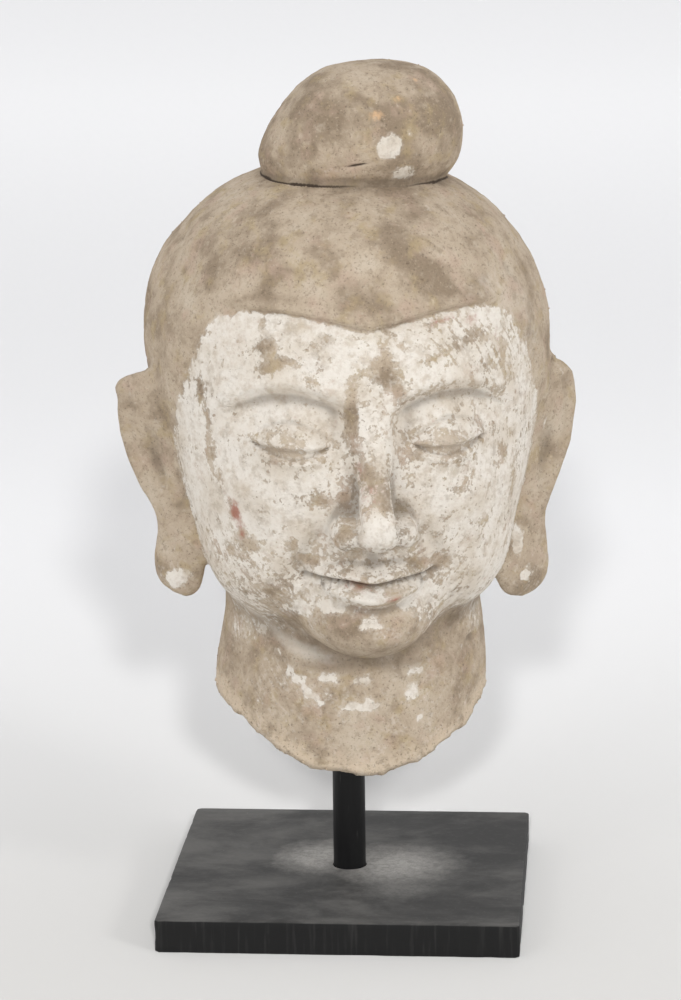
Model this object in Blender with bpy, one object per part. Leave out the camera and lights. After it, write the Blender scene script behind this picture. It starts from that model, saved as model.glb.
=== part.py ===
"""A fired-clay temple head on its display stand, for Blender 4.5.

The stand is a square plate with a round rod let into it. The head is one piece of clay, broken off
at the neck, with a hole drilled up into the neck that sits over the rod.

Lengths are in metres. The head's own form is carved by a sculptor's canon instead: its height from
crown to chin is divided in 100 parts, and every place on it is given in parts from the point midway
between crown and chin on the rod's axis, with x to the viewer's right, y to the back and z up.
"""

import math

import bmesh
import bpy
import numpy as np

# Stand
PLATE_WIDTH = 0.130
PLATE_DEPTH = 0.130
PLATE_THICKNESS = 0.012
PLATE_EDGE_ROUND = 0.0005
ROD_RADIUS = 0.006
ROD_LET_IN = 0.008
ROD_SHOWN = 0.0717
ROD_IN_NECK = 0.060
ROD_SIDES = 36
FIT_GAP = 0.0003

# Head
HEAD_HEIGHT = 0.168
HEAD_TURN = math.radians(11.0)
HEAD_ASIDE = 0.0017
PART = HEAD_HEIGHT / 100

# Masses that run together into the head, as ellipsoids: middle and half sizes, in parts
SKULL = (0, 4.5, 14.6), (41.0, 45.0, 33.2)
FACE = (0, -5.0, -9.5), (37.6, 36.6, 38.5)
JAW = (15.5, -13.5, -31.5), (15.0, 18.0, 13.5)
CHIN = (0, -30.5, -41.5), (12.5, 12.0, 8.5)
NAPE = (0, 14.0, -26.0), (27.0, 19.5, 26.0)

# Neck and its broken edge, which drops in a tongue at the throat, in parts
NECK_ASIDE = -0.3
NECK_WAIST = 27.0
NECK_SWELL = 1.5
NECK_SWELL_LEVEL = -49.0
NECK_WIDENING = 2.4
NECK_NARROW_AT = 45.0
NECK_WIDE_AT = 63.0
BREAK_AT_ROD = -64.4
BREAK_RISE_TO_NAPE = 0.10
THROAT_DROP = 13.4
BREAK_ROUGHNESS = 0.25

# Places on the face, in parts, by thirds from hairline to chin
EYE_APART = 16.5
EYE_LEVEL = -3.5
EYE_HALF_WIDTH = 8.4
BROW_LEVEL = 8.0
BROW_BEND = 0.028
NOSE_TOP = 2.0
NOSE_TIP = -20.3
NOSE_ROOT = 39.0
NOSE_REACH = 47.6
MOUTH_LEVEL = -32.6
MOUTH_HALF_WIDTH = 13.0
CHIN_LEVEL = -44.0

# Hair, in parts and degrees
HAIR_PEAK = 20.4
HAIR_ARCH_RISE = 3.3
HAIR_ARCH_ANGLE = 31.0
TEMPLE_ANGLE = 54.0
TEMPLE_SWEEP = 19.0
NAPE_LEVEL = -33.0
RISE_BEFORE_EARS = 14.0
EARS_FRONT_ANGLE = 85.0
EARS_BACK_ANGLE = 125.0
HAIR_EDGE = 0.9
HAIR_SOFTER_AT_TEMPLES = 1.4
HAIR_BODY = 1.7

# Topknot, in parts
KNOT_PLACE = (2.9, -1.0, 55.4)
KNOT_HALF = (21.8, 19.0, 15.4)
KNOT_LEAN = 0.12
KNOT_FULLNESS = 2.3
KNOT_FLANK = (-0.81, 0.59)
KNOT_FLANK_REACH = 16.6
KNOT_FLANK_SOFTNESS = 3.0
KNOT_FLATTENED = 0.85

# Ears, in parts
EAR_ROOT = (39.0, -5.9)
EAR_ANGLE = math.radians(38.0)
EAR_TOPS = {-1: 6.0, 1: 6.2}
EAR_BOTTOMS = {-1: -42.4, 1: -45.4}
EAR_DROPS = (0.0, 0.035, 0.14, 0.33, 0.51, 0.64, 0.76, 0.88, 0.96, 1.0)
EAR_OUTER = {
    -1: (8.5, 11.8, 12.7, 11.3, 7.3, 3.8, 3.9, 5.0, 2.6, -2.6),
    1: (7.2, 9.8, 12.0, 10.9, 6.2, 3.5, 3.9, 5.0, 2.6, -2.6),
}
EAR_INNER = {
    -1: (-3.5, -4.0, -4.0, -4.0, -4.5, -6.3, -8.2, -8.4, -6.8, -4.5),
    1: (-3.5, -4.0, -4.0, -4.0, -4.5, -6.9, -10.0, -11.6, -9.6, -5.5),
}
EAR_THICK = (2.4, 4.8, 5.6, 5.6, 5.2, 4.8, 5.0, 5.6, 4.4, 2.0)

# Facets, and the softness of carved edges at that size of facet, in parts
HEAD_COLUMNS = 72
HEAD_ROWS = 46
NECK_ROWS = 5
BREAK_RINGS = 2
EAR_COLUMNS = 14
EAR_ROWS = 16
KNOT_COLUMNS = 22
KNOT_ROWS = 10
FINER = 3
EDGE = 0.6

# Rays that find the head's surface: from the middle of the head, lower for the mouth, then level out.
# They crowd at the face, in radians round the axis and in degrees of slope: place, spread, strength
COLUMN_CROWDS = [(0.0, 0.62, 4.0)]
ROW_CROWDS = [(28.5, 3.0, 5.0), (-12.0, 26.0, 1.6), (-4.0, 6.0, 1.6), (-40.0, 8.0, 4.5)]
FRONT_REACH = 40.0
MOUTH_DIP = 14.0
JAW_SLOPE = math.radians(-58.0)
NECK_SLOPE = math.radians(-15.0)
NECK_REACH = 28.5
RAY_NEAR = 4.0
RAY_FAR = 90.0
HALVINGS = 26


def ramp(value, start, stop):
    """0 before start, 1 after stop, and a smooth rise between."""
    t = np.clip((value - start) / (stop - start), 0.0, 1.0)
    return t * t * (3 - 2 * t)


def bump(*offsets):
    """1 at the middle and falling off all round; each offset is a distance over its spread."""
    return np.exp(-sum(offset**2 for offset in offsets))


def crowded(start, stop, count, crowds):
    """Values from start to stop that stand closer together at each (place, spread, strength)."""
    fine = np.linspace(start, stop, 2001)
    density = 1.0 + sum(strength * bump((fine - place) / spread) for place, spread, strength in crowds)
    total = np.concatenate(([0.0], np.cumsum((density[1:] + density[:-1]) / 2)))
    return np.interp(np.linspace(0.0, total[-1], count), total, fine)


def through(places, values, at):
    """A smooth curve through values at rising places, read at any place between them."""
    places, values = np.array(places, float), np.array(values, float)
    slopes = np.gradient(values, places)
    i = np.clip(np.searchsorted(places, at) - 1, 0, len(places) - 2)
    span = places[i + 1] - places[i]
    t = (at - places[i]) / span
    start = (1 + 2 * t) * (1 - t) ** 2 * values[i] + t * (1 - t) ** 2 * span * slopes[i]
    stop = t * t * (3 - 2 * t) * values[i + 1] + t * t * (t - 1) * span * slopes[i + 1]
    return start + stop


def joined(first, second, blend):
    """Two solids' distances as one solid's, with the corner between them filled over blend parts."""
    near = np.maximum(blend - np.abs(first - second), 0.0)
    return np.minimum(first, second) - near * near / (4 * blend)


def egg(x, y, z, centre, radii):
    """Distance from an ellipsoid, near enough for carving."""
    across = [(v - c) / r for v, c, r in zip((x, y, z), centre, radii)]
    steep = [(v - c) / r**2 for v, c, r in zip((x, y, z), centre, radii)]
    reach = np.sqrt(sum(v * v for v in across))
    slope = np.sqrt(sum(v * v for v in steep))
    return reach * (reach - 1) / np.maximum(slope, 1e-9)


def neck(x, y, z):
    """A round neck that widens towards the break and ends up inside the head."""
    widening = NECK_WIDENING * ramp(-z, NECK_NARROW_AT, NECK_WIDE_AT)
    swell = NECK_SWELL * bump((z - NECK_SWELL_LEVEL) / 9.0) * ramp(x, 0.0, 22.0)
    half_width, half_depth = NECK_WAIST + widening + swell, NECK_WAIST + 0.8 + widening
    column = (np.hypot((x - NECK_ASIDE) / half_width, (y - 0.5) / half_depth) - 1) * half_width
    return np.maximum(column, z + 20)


def masses(x, y, z):
    """Skull, full cheeks, jaw, chin, nape and neck run together, before any carving."""
    m = np.abs(x)
    skull, face, jaw, chin, nape = (egg(m, y, z, *mass) for mass in (SKULL, FACE, JAW, CHIN, NAPE))
    head = joined(joined(skull, face, 14.0), jaw, 9.0)
    return joined(joined(joined(head, chin, 9.0), nape, 12.0), neck(x, y, z), 3.5)


def nose(x, y, z):
    """A straight ridge from the brow to a rounded tip, with a wing each side of its foot."""
    m = np.abs(x)
    along_y, along_z = NOSE_REACH - NOSE_ROOT, NOSE_TIP + 2.0 - NOSE_TOP
    share = ((y + NOSE_ROOT) * -along_y + (z - NOSE_TOP) * along_z) / (along_y**2 + along_z**2)
    share = np.clip(share, 0.0, 1.0)
    beside_y, beside_z = y + NOSE_ROOT + along_y * share, z - NOSE_TOP - along_z * share
    ridge = np.sqrt(m**2 + beside_y**2 + beside_z**2) - 2.3 - 1.3 * share
    tip = egg(x, y, z, (0, -NOSE_REACH - 0.2, NOSE_TIP), (4.5, 4.6, 4.1))
    wing = egg(m, y, z, (5.4, -NOSE_REACH + 4.4, NOSE_TIP - 1.2), (3.3, 4.9, 3.3))
    return joined(joined(ridge, tip, 3.0), wing, 3.6)


def brow_line(m):
    """Height of the brow's edge at a distance m from the middle line."""
    return BROW_LEVEL - BROW_BEND * (m - 17.0) ** 2


def brow_relief(m, z):
    """The socket, sharp under the brow's arc and dying away into the cheek."""
    below = brow_line(m) - z
    across = ramp(m, 2.5, 8.0) * (1 - ramp(m, 21.0, 36.0))
    socket = -2.4 * ramp(below, -0.8 - EDGE, 2.0 + EDGE) * (1 - ramp(below, 6.0, 20.0)) * across
    inner_corner = -1.9 * bump((m - 7.6) / 3.4, (z + 0.5) / 6.0)
    ridge = 0.45 * bump((below + 1.2 + EDGE / 2) / (1.0 + EDGE)) * ramp(m, 2.0, 8.0) * ramp(-m, -32.0, -18.0)
    return socket + inner_corner + ridge


def eye_opening(m):
    """How far the lids are open at a distance m from the middle line, from 0 at the corners to 1."""
    return np.maximum(1 - ((m - EYE_APART) / EYE_HALF_WIDTH) ** 2, 0.0)


def eye_relief(m, z):
    """A full lid half closed over the eye, with a narrow downcast opening under it."""
    outward = m - EYE_APART
    corners = EYE_LEVEL + 0.05 * outward
    ball = bump(outward / 8.8, (z - corners - 0.4) / 5.4)
    lids = eye_opening(m)
    upper, lower = corners - 0.7 * lids, corners - 3.1 * lids
    opening = ramp(upper - z, -EDGE, EDGE) * ramp(z - lower, -EDGE, EDGE) * ramp(lids, 0.0, 0.3)
    return 3.5 * ball - 1.0 * opening


def mouth_line(x):
    """The line between the lips, lifted a little at the corners."""
    return MOUTH_LEVEL + 1.0 * (x / MOUTH_HALF_WIDTH) ** 2 - 0.5 * bump(x / 3.5)


def mouth_relief(x, z):
    """Full lips on a rounded muzzle."""
    m = np.abs(x)
    line = mouth_line(x)
    taper = np.maximum(1 - (m / MOUTH_HALF_WIDTH) ** 2, 0.0)
    upper = np.clip((z - line) / (0.6 + 3.3 * taper**0.8 - 0.7 * bump(x / 3.0)), 0.0, 1.0)
    lower = np.clip((line - z) / (0.6 + 4.2 * taper**0.8), 0.0, 1.0)
    lips = 1.9 * np.sin(math.pi * upper) * taper**0.7
    lips += 2.4 * np.sin(math.pi * lower) * taper**0.7
    muzzle = 2.0 * bump(x / 14.0, (z + 31.5) / 9.5)
    parting = -1.0 * bump((z - line) / (0.4 + 0.7 * EDGE)) * ramp(MOUTH_HALF_WIDTH + 2.0 - m, 0, 3.0)
    corner = -1.2 * bump((m - MOUTH_HALF_WIDTH - 0.6) / 2.2, (z - line) / 2.4)
    return lips + muzzle + parting + corner


def chin_relief(x, z):
    """A round chin with a soft fold between it and the lower lip, and the hollow under the nose."""
    ball = 2.3 * bump(x / 8.0, (z - CHIN_LEVEL) / 5.0)
    fold = -1.5 * bump(x / 9.0, (z - CHIN_LEVEL - 5.6) / 2.3)
    hollow = -0.6 * bump(x / 1.8, (z + 27.2) / 2.2)
    return ball + fold + hollow


def cheek_relief(m, z):
    """Full cheeks, and the shallow fold that runs from each wing of the nose."""
    cheek = 1.7 * bump((m - 21.0) / 9.5, (z + 16.5) / 10.0)
    fold = -0.7 * bump((m - 11.0 - 0.5 * (-22.0 - z)) / 2.2, (z + 25.5) / 5.0)
    return cheek + fold


def hair_arch(angle):
    """Rise of the hair's edge over the brow, in parts, at an angle in degrees from the face's middle."""
    return HAIR_ARCH_RISE * np.sin(np.radians(90 * np.clip(angle / HAIR_ARCH_ANGLE, 0.0, 1.0))) ** 1.2


def hair_edge(x, y, z):
    """Distance into the hair from its edge: two arches over the brow, swept back at the temples."""
    angle = np.degrees(np.arctan2(np.abs(x), -y))
    over_brow = z - HAIR_PEAK - hair_arch(angle)
    temple = TEMPLE_ANGLE + TEMPLE_SWEEP * np.clip((20.0 - z) / 22.0, 0.0, 1.6)
    past_temple = np.radians(angle - temple) * 16.0
    above_nape = z - NAPE_LEVEL - RISE_BEFORE_EARS * (1 - ramp(angle, EARS_FRONT_ANGLE, EARS_BACK_ANGLE))
    return np.minimum(-joined(-over_brow, -past_temple, 4.0), above_nape)


def hair_relief(x, y, z):
    """Hair laid close to the head, proud of the skin by a low step."""
    inside = hair_edge(x, y, z)
    soft = EDGE + HAIR_SOFTER_AT_TEMPLES * ramp(np.abs(x), 20.0, 34.0)
    return HAIR_EDGE * ramp(inside, -soft, soft) + HAIR_BODY * ramp(inside, 0.0, 16.0)


def neck_fold(x, y, z):
    """One soft ring round the front of the neck."""
    ring = -54.0 + 0.10 * (y + 28.0)
    return -0.25 * bump((z - ring) / 1.2) * ramp(-y, -4.0, 10.0)


def head_distance(x, y, z):
    """Distance outside the carved head, in parts; below zero inside it."""
    m = np.abs(x)
    face = brow_relief(m, z) + eye_relief(m, z) + mouth_relief(x, z) + chin_relief(x, z) + cheek_relief(m, z)
    in_front = ramp(-y, 8.0, 20.0)
    skin = masses(x, y, z) - face * in_front - hair_relief(x, y, z) - neck_fold(x, y, z)
    return joined(skin, nose(x, y, z), 3.5)


def break_height(x, y):
    """Height of the break: near level at the sides and nape, and dropping to a tongue at the throat."""
    rough = np.sin(0.5 * x + 0.3 * y) + 0.8 * np.sin(0.4 * x - 0.8 * y + 1.0) + 0.6 * np.sin(0.9 * y + 2.0)
    throat = np.maximum(-y, 0.0) / (NECK_WAIST + NECK_WIDENING)
    slope = BREAK_RISE_TO_NAPE * np.maximum(y, 0.0) - THROAT_DROP * throat**2
    return BREAK_AT_ROD + slope + BREAK_ROUGHNESS * rough * ramp(np.hypot(x, y), 6.0, 18.0)


def along_ray(reach, azimuth, slope, start):
    """The point at a level distance from the axis, on a ray that starts on the axis."""
    return reach * np.sin(azimuth), -reach * np.cos(azimuth), start + reach * np.tan(slope)


def row_shift(level, azimuth):
    """How far a row of the grid is lifted at each azimuth, so that rows run along the carving."""
    x, front = FRONT_REACH * np.sin(azimuth), np.cos(azimuth) > 0
    m, angle = np.abs(x), np.degrees(np.abs(azimuth))
    fade = 1 - ramp(angle, 48.0, 80.0)
    brow = np.maximum(brow_line(m) - BROW_LEVEL, -9.0) * bump((level - BROW_LEVEL) / 9.0)
    eye = -1.9 * eye_opening(m) * bump((level - EYE_LEVEL) / 4.0)
    line = mouth_line(np.clip(x, -MOUTH_HALF_WIDTH, MOUTH_HALF_WIDTH))
    mouth = (line - MOUTH_LEVEL) * bump((level - MOUTH_LEVEL) / 5.0)
    hair = hair_arch(angle) * bump((level - HAIR_PEAK) / 4.5)
    return (brow + eye + mouth + hair) * fade * front


def ray_rows(azimuth, head_rows, neck_rows):
    """The rays' slopes and starts, row by row from under the crown down to the break."""
    crowds = [(math.radians(angle), math.radians(spread), strength) for angle, spread, strength in ROW_CROWDS]
    jaw_height = NECK_REACH * math.tan(JAW_SLOPE)
    edge = break_height(*along_ray(NECK_REACH, azimuth, 0.0, 0.0)[:2])
    slopes, starts = [], []
    for slope in crowded(math.radians(90.0), JAW_SLOPE, head_rows + 1, crowds)[1:]:
        level = FRONT_REACH * math.tan(slope)
        start = -MOUTH_DIP * bump((level - MOUTH_LEVEL + 3.4) / 14.0)
        slopes.append(np.arctan((level + row_shift(level, azimuth) - start) / FRONT_REACH))
        starts.append(np.full_like(azimuth, start))
    for share in np.linspace(0.0, 1.0, neck_rows + 1)[1:]:
        slope = JAW_SLOPE + (NECK_SLOPE - JAW_SLOPE) * ramp(share, 0.0, 1.0)
        slopes.append(np.full_like(azimuth, slope))
        starts.append(jaw_height + (edge - jaw_height) * share - NECK_REACH * math.tan(slope))
    return np.array(slopes), np.array(starts)


def ray_lengths(azimuth, slopes, starts):
    """How far each ray runs to the head's surface, by halving the stretch that holds the crossing."""
    near, far = np.full(slopes.shape, RAY_NEAR), np.full(slopes.shape, RAY_FAR)
    for _ in range(HALVINGS):
        middle = (near + far) / 2
        outside = head_distance(*along_ray(middle * np.cos(slopes), azimuth, slopes, starts)) > 0
        near, far = np.where(outside, near, middle), np.where(outside, middle, far)
    return (near + far) / 2


def softened(lengths):
    """Each length averaged with its neighbours, so that the facets carry the carving evenly."""
    above, below = np.vstack((lengths[:1], lengths[:-1])), np.vstack((lengths[1:], lengths[-1:]))
    lengths = (above + lengths + below) / 3
    return (np.roll(lengths, 1, axis=1) + lengths + np.roll(lengths, -1, axis=1)) / 3


def strips(rows, columns):
    """Faces between rings of points that follow one another, each ring closed on itself."""
    faces = []
    for here in range(0, (rows - 1) * columns, columns):
        for c in range(columns):
            beside = (c + 1) % columns
            faces.append((here + c, here + columns + c, here + columns + beside, here + beside))
    return faces


def fans(rows, columns, first_pole, last_pole):
    """Faces from the first ring up to one pole and from the last ring down to the other."""
    last = (rows - 1) * columns
    top = [(first_pole, c, (c + 1) % columns) for c in range(columns)]
    bottom = [(last_pole, last + (c + 1) % columns, last + c) for c in range(columns)]
    return top + bottom


def ringed_mesh(name, rings, top, bottom):
    """A closed mesh from rings of points and the two poles that shut its ends."""
    rows, columns = len(rings), len(rings[0])
    points = [tuple(p) for ring in rings for p in ring] + [tuple(top), tuple(bottom)]
    faces = strips(rows, columns) + fans(rows, columns, rows * columns, rows * columns + 1)
    mesh = bpy.data.meshes.new(name)
    mesh.from_pydata([[v * PART for v in p] for p in points], [], faces)
    shape = bmesh.new()
    shape.from_mesh(mesh)
    bmesh.ops.recalc_face_normals(shape, faces=shape.faces)
    shape.to_mesh(mesh)
    shape.free()
    mesh.shade_smooth()
    mesh.set_sharp_from_angle(angle=math.radians(70))
    return mesh


def skull_mesh():
    """Head, face and neck in one skin, closed below by the rough face of the break."""
    azimuth = crowded(-math.pi, math.pi, HEAD_COLUMNS * FINER + 1, COLUMN_CROWDS)[:-1]
    slopes, starts = ray_rows(azimuth, HEAD_ROWS * FINER, NECK_ROWS * FINER)
    lengths = ray_lengths(azimuth, slopes, starts)
    if FINER > 1:
        lengths = softened(lengths)
    grid = np.stack(along_ray(lengths * np.cos(slopes), azimuth, slopes, starts), axis=-1)
    rings = list(grid[FINER - 1 :: FINER, ::FINER])
    edge = rings[-1]
    lift = edge[:, 2] - break_height(edge[:, 0], edge[:, 1])
    for share in np.linspace(1.0, 0.0, BREAK_RINGS + 1)[1:-1]:
        x, y = edge[:, 0] * share, edge[:, 1] * share
        rings.append(np.stack((x, y, break_height(x, y) + lift * share**3), axis=-1))
    crown = ray_lengths(np.zeros(1), np.full(1, math.radians(89.99)), np.zeros(1))[0]
    return ringed_mesh("head", rings, (0.0, 0.0, crown), (0.0, 0.0, BREAK_AT_ROD))


def ear_outline(side, drop):
    """Inner and outer edge across the ear's slanting plane, and its thickness, at a share of its drop."""
    return [through(EAR_DROPS, values, drop) for values in (EAR_INNER[side], EAR_OUTER[side], EAR_THICK)]


def ear_relief(share, drop):
    """Carving on the ear's outer face; share runs from 0 at its root to 1 at its rim."""
    rim = 0.8 * ramp(share, 0.72, 0.88) * (1 - ramp(drop, 0.48, 0.64))
    hollow = -1.9 * bump((share - 0.46) / 0.16, (drop - 0.38) / 0.13)
    fold = 0.5 * bump((share - 0.60) / 0.08, (drop - 0.13) / 0.13)
    slit = -0.6 * bump((share - 0.52) / 0.08, (drop - 0.78) / 0.13)
    return rim + hollow + fold + slit


def ear_mesh(side):
    """A long-lobed ear, made apart and pressed on; side is 1 for the viewer's right and -1 for the left."""
    top, bottom = EAR_TOPS[side], EAR_BOTTOMS[side]
    across = np.array([math.cos(EAR_ANGLE), math.sin(EAR_ANGLE)])
    outward = np.array([math.sin(EAR_ANGLE), -math.cos(EAR_ANGLE)])
    turn = np.linspace(0, 2 * math.pi, EAR_COLUMNS, endpoint=False)
    rings = []
    for drop in crowded(0.004, 0.995, EAR_ROWS, [(0.0, 0.06, 2.0), (1.0, 0.06, 2.0)]):
        inner, outer, thick = ear_outline(side, drop)
        share = 0.5 + 0.5 * np.sign(np.cos(turn)) * np.abs(np.cos(turn)) ** 0.8
        place = inner + (outer - inner) * share
        proud = thick / 2 * np.sin(turn) + ear_relief(share, drop) * ramp(np.sin(turn), 0.1, 0.6)
        level = np.outer(place, across) + np.outer(proud, outward) + np.array(EAR_ROOT)
        height = top + (bottom - top) * drop
        rings.append(np.column_stack((side * level[:, 0], level[:, 1], np.full(EAR_COLUMNS, height))))
    poles = [(*rings[i][:, :2].mean(axis=0), z) for i, z in ((0, top), (-1, bottom))]
    return ringed_mesh("ear", rings, *poles)


def knot_mesh():
    """The topknot, a lump of clay rolled by hand and pressed on the crown, leaning a little aside."""
    turn = np.linspace(0, 2 * math.pi, KNOT_COLUMNS, endpoint=False)
    rings = []
    for lift in np.linspace(math.pi / 2, -math.pi / 2, KNOT_ROWS + 2)[1:-1]:
        lump = 1 + 0.025 * np.sin(2 * turn + 3 * lift) + 0.02 * np.sin(3 * turn - 2 * lift + 1)
        height = math.copysign(abs(math.sin(lift)) ** (2 / KNOT_FULLNESS), lift) * KNOT_HALF[2]
        girth = math.cos(lift) ** (2 / KNOT_FULLNESS) * lump
        x = girth * np.sin(turn) * KNOT_HALF[0] + KNOT_LEAN * height
        y = -girth * np.cos(turn) * KNOT_HALF[1]
        beyond = x * KNOT_FLANK[0] + height * KNOT_FLANK[1] - KNOT_FLANK_REACH
        beyond = (beyond + np.hypot(beyond, KNOT_FLANK_SOFTNESS)) / 2 * KNOT_FLATTENED
        x, level = x - beyond * KNOT_FLANK[0], height - beyond * KNOT_FLANK[1]
        rings.append(np.column_stack((x, y, level)) + KNOT_PLACE)
    ends = [np.array([KNOT_LEAN * end, 0.0, end]) + KNOT_PLACE for end in (KNOT_HALF[2], -KNOT_HALF[2])]
    return ringed_mesh("topknot", rings, *ends)


def clay():
    """Buff fired clay with the remains of a white slip."""
    return finish("fired_clay", (0.50, 0.43, 0.35), roughness=0.92, metallic=0.0)


def black_board():
    """Fibreboard under flat black paint."""
    return finish("black_board", (0.045, 0.045, 0.043), roughness=0.6, metallic=0.0)


def black_steel():
    """Steel under black lacquer."""
    return finish("black_steel", (0.015, 0.015, 0.017), roughness=0.4, metallic=0.2)


def finish(name, colour, roughness, metallic):
    material = bpy.data.materials.new(name)
    material.use_nodes = True
    shader = material.node_tree.nodes["Principled BSDF"]
    shader.inputs["Base Color"].default_value = (*colour, 1.0)
    shader.inputs["Roughness"].default_value = roughness
    shader.inputs["Metallic"].default_value = metallic
    return material


def placed(name, mesh, material=None, parent=None, location=(0, 0, 0)):
    thing = bpy.data.objects.new(name, mesh)
    bpy.context.scene.collection.objects.link(thing)
    thing.location = location
    thing.parent = parent
    if material:
        mesh.materials.append(material)
    return thing


def guide(name, mesh, parent=None, location=(0, 0, 0)):
    """A shape that only cuts or adds to another, and isn't a piece of its own."""
    shape = placed(name, mesh, parent=parent, location=location)
    shape.hide_render = True
    shape.display_type = "WIRE"
    return shape


def boolean(thing, shape, operation):
    modifier = thing.modifiers.new(f"{operation.lower()} {shape.name}", "BOOLEAN")
    modifier.operation = operation
    modifier.object = shape


def cylinder(name, radius, length, sides=ROD_SIDES):
    """A round bar along Z whose lower end is at its origin."""
    mesh = bpy.data.meshes.new(name)
    shape = bmesh.new()
    bmesh.ops.create_cone(shape, cap_ends=True, segments=sides, radius1=radius, radius2=radius, depth=length)
    bmesh.ops.translate(shape, verts=shape.verts, vec=(0, 0, length / 2))
    shape.to_mesh(mesh)
    shape.free()
    mesh.shade_smooth()
    mesh.set_sharp_from_angle(angle=math.radians(40))
    return mesh


def make_plate():
    """The square plate, with a blind hole in the middle for the rod."""
    mesh = bpy.data.meshes.new("base_plate")
    shape = bmesh.new()
    bmesh.ops.create_cube(shape, size=1.0)
    bmesh.ops.scale(shape, verts=shape.verts, vec=(PLATE_WIDTH, PLATE_DEPTH, PLATE_THICKNESS))
    bmesh.ops.translate(shape, verts=shape.verts, vec=(0, 0, PLATE_THICKNESS / 2))
    shape.to_mesh(mesh)
    shape.free()
    plate = placed("base_plate", mesh, black_board())
    edges = plate.modifiers.new("worn edges", "BEVEL")
    edges.width = PLATE_EDGE_ROUND
    edges.segments = 2
    hole = cylinder("plate_hole", ROD_RADIUS + FIT_GAP, ROD_LET_IN + PLATE_THICKNESS)
    boolean(plate, guide("plate_hole", hole, location=(0, 0, PLATE_THICKNESS - ROD_LET_IN)), "DIFFERENCE")


def make_rod():
    """The rod, from the bottom of the plate's hole to near the top of the neck's."""
    foot = PLATE_THICKNESS - ROD_LET_IN + FIT_GAP
    top = PLATE_THICKNESS + ROD_SHOWN + ROD_IN_NECK - FIT_GAP
    placed("rod", cylinder("rod", ROD_RADIUS, top - foot), black_steel(), location=(0, 0, foot))


def make_head():
    """The clay head on the rod, turned a little from the plate's front."""
    break_above_table = PLATE_THICKNESS + ROD_SHOWN
    stance = bpy.data.objects.new("stance", None)
    bpy.context.scene.collection.objects.link(stance)
    stance.location = (HEAD_ASIDE, 0, break_above_table - BREAK_AT_ROD * PART)
    stance.rotation_euler = (0, 0, HEAD_TURN)
    head = placed("head", skull_mesh(), clay(), parent=stance)
    for side, name in ((-1, "ear_left"), (1, "ear_right")):
        boolean(head, guide(name, ear_mesh(side), parent=stance), "UNION")
    boolean(head, guide("topknot", knot_mesh(), parent=stance), "UNION")
    below = 20 * PART
    hole = cylinder("neck_hole", ROD_RADIUS + FIT_GAP, ROD_IN_NECK + below)
    boolean(head, guide("neck_hole", hole, location=(0, 0, break_above_table - below)), "DIFFERENCE")


def main():
    for old in list(bpy.data.objects):
        bpy.data.objects.remove(old)
    make_plate()
    make_rod()
    make_head()


main()
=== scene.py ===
import math

import bmesh
import bpy
import numpy as np
from bpy.props import FloatProperty, FloatVectorProperty, IntProperty, PointerProperty
from mathutils import Matrix, Vector
from mathutils.bvhtree import BVHTree


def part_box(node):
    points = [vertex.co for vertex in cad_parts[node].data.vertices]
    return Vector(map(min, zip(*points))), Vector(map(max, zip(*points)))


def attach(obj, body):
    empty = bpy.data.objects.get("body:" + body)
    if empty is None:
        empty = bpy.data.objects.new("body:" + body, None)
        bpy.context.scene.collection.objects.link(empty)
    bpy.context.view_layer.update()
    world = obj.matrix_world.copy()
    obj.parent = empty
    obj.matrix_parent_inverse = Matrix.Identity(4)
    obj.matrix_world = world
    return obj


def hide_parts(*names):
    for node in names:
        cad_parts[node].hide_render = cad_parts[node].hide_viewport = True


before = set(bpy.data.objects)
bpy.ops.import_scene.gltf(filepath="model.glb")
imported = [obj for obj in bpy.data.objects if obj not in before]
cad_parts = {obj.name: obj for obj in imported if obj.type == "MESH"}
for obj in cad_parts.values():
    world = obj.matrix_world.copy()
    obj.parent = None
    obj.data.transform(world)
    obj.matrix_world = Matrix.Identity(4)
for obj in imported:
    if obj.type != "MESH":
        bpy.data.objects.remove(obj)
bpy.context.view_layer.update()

bl_info = {
    "name": "Clay Head on a Stand",
    "version": (1, 0, 0),
    "blender": (4, 5, 0),
    "location": "View3D > Sidebar > Clay Head",
    "description": "A fired-clay temple head under a worn white slip, on a black rod and board",
    "category": "Add Mesh",
}

# The frame's boxes, in metres
HEAD_LOW, HEAD_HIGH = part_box("head")
ROD_LOW, ROD_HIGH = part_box("rod")
PLATE_LOW, PLATE_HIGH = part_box("base_plate")

# The head is measured by a sculptor's canon: 100 parts from crown to chin, from the point midway between
# them on the rod's axis, with x to the viewer's right, y to the back and z up
PARTS_ABOVE_MIDDLE = 70.8
PARTS_IN_ALL = 148.37
PART = (HEAD_HIGH.z - HEAD_LOW.z) / PARTS_IN_ALL
HEAD_TURN = math.radians(11.0)
HEAD_PLACE = Vector((0.0017, 0.0, HEAD_HIGH.z - PARTS_ABOVE_MIDDLE * PART))
MM = 0.001 / PART

# Play between the rod and its holes, in metres
PLAY = 0.0003

# Masses that run together into the head, as ellipsoids: middle and half sizes, in parts
SKULL = (0, 4.5, 14.6), (41.0, 45.0, 33.2)
FACE = (0, -5.0, -9.5), (37.6, 36.6, 38.5)
JAW = (15.5, -13.5, -31.5), (15.0, 18.0, 13.5)
CHIN = (0, -30.5, -41.5), (12.5, 12.0, 8.5)
NAPE = (0, 14.0, -26.0), (27.0, 19.5, 26.0)

# Neck and its broken edge, which drops in a tongue at the throat, in parts
NECK_ASIDE = -0.3
NECK_WAIST = 27.0
NECK_SWELL = 1.5
NECK_SWELL_LEVEL = -49.0
NECK_WIDENING = 2.4
BREAK_AT_ROD = -64.4
BREAK_RISE_TO_NAPE = 0.10
THROAT_DROP = 13.4
BREAK_ROUGHNESS = 0.25

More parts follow.
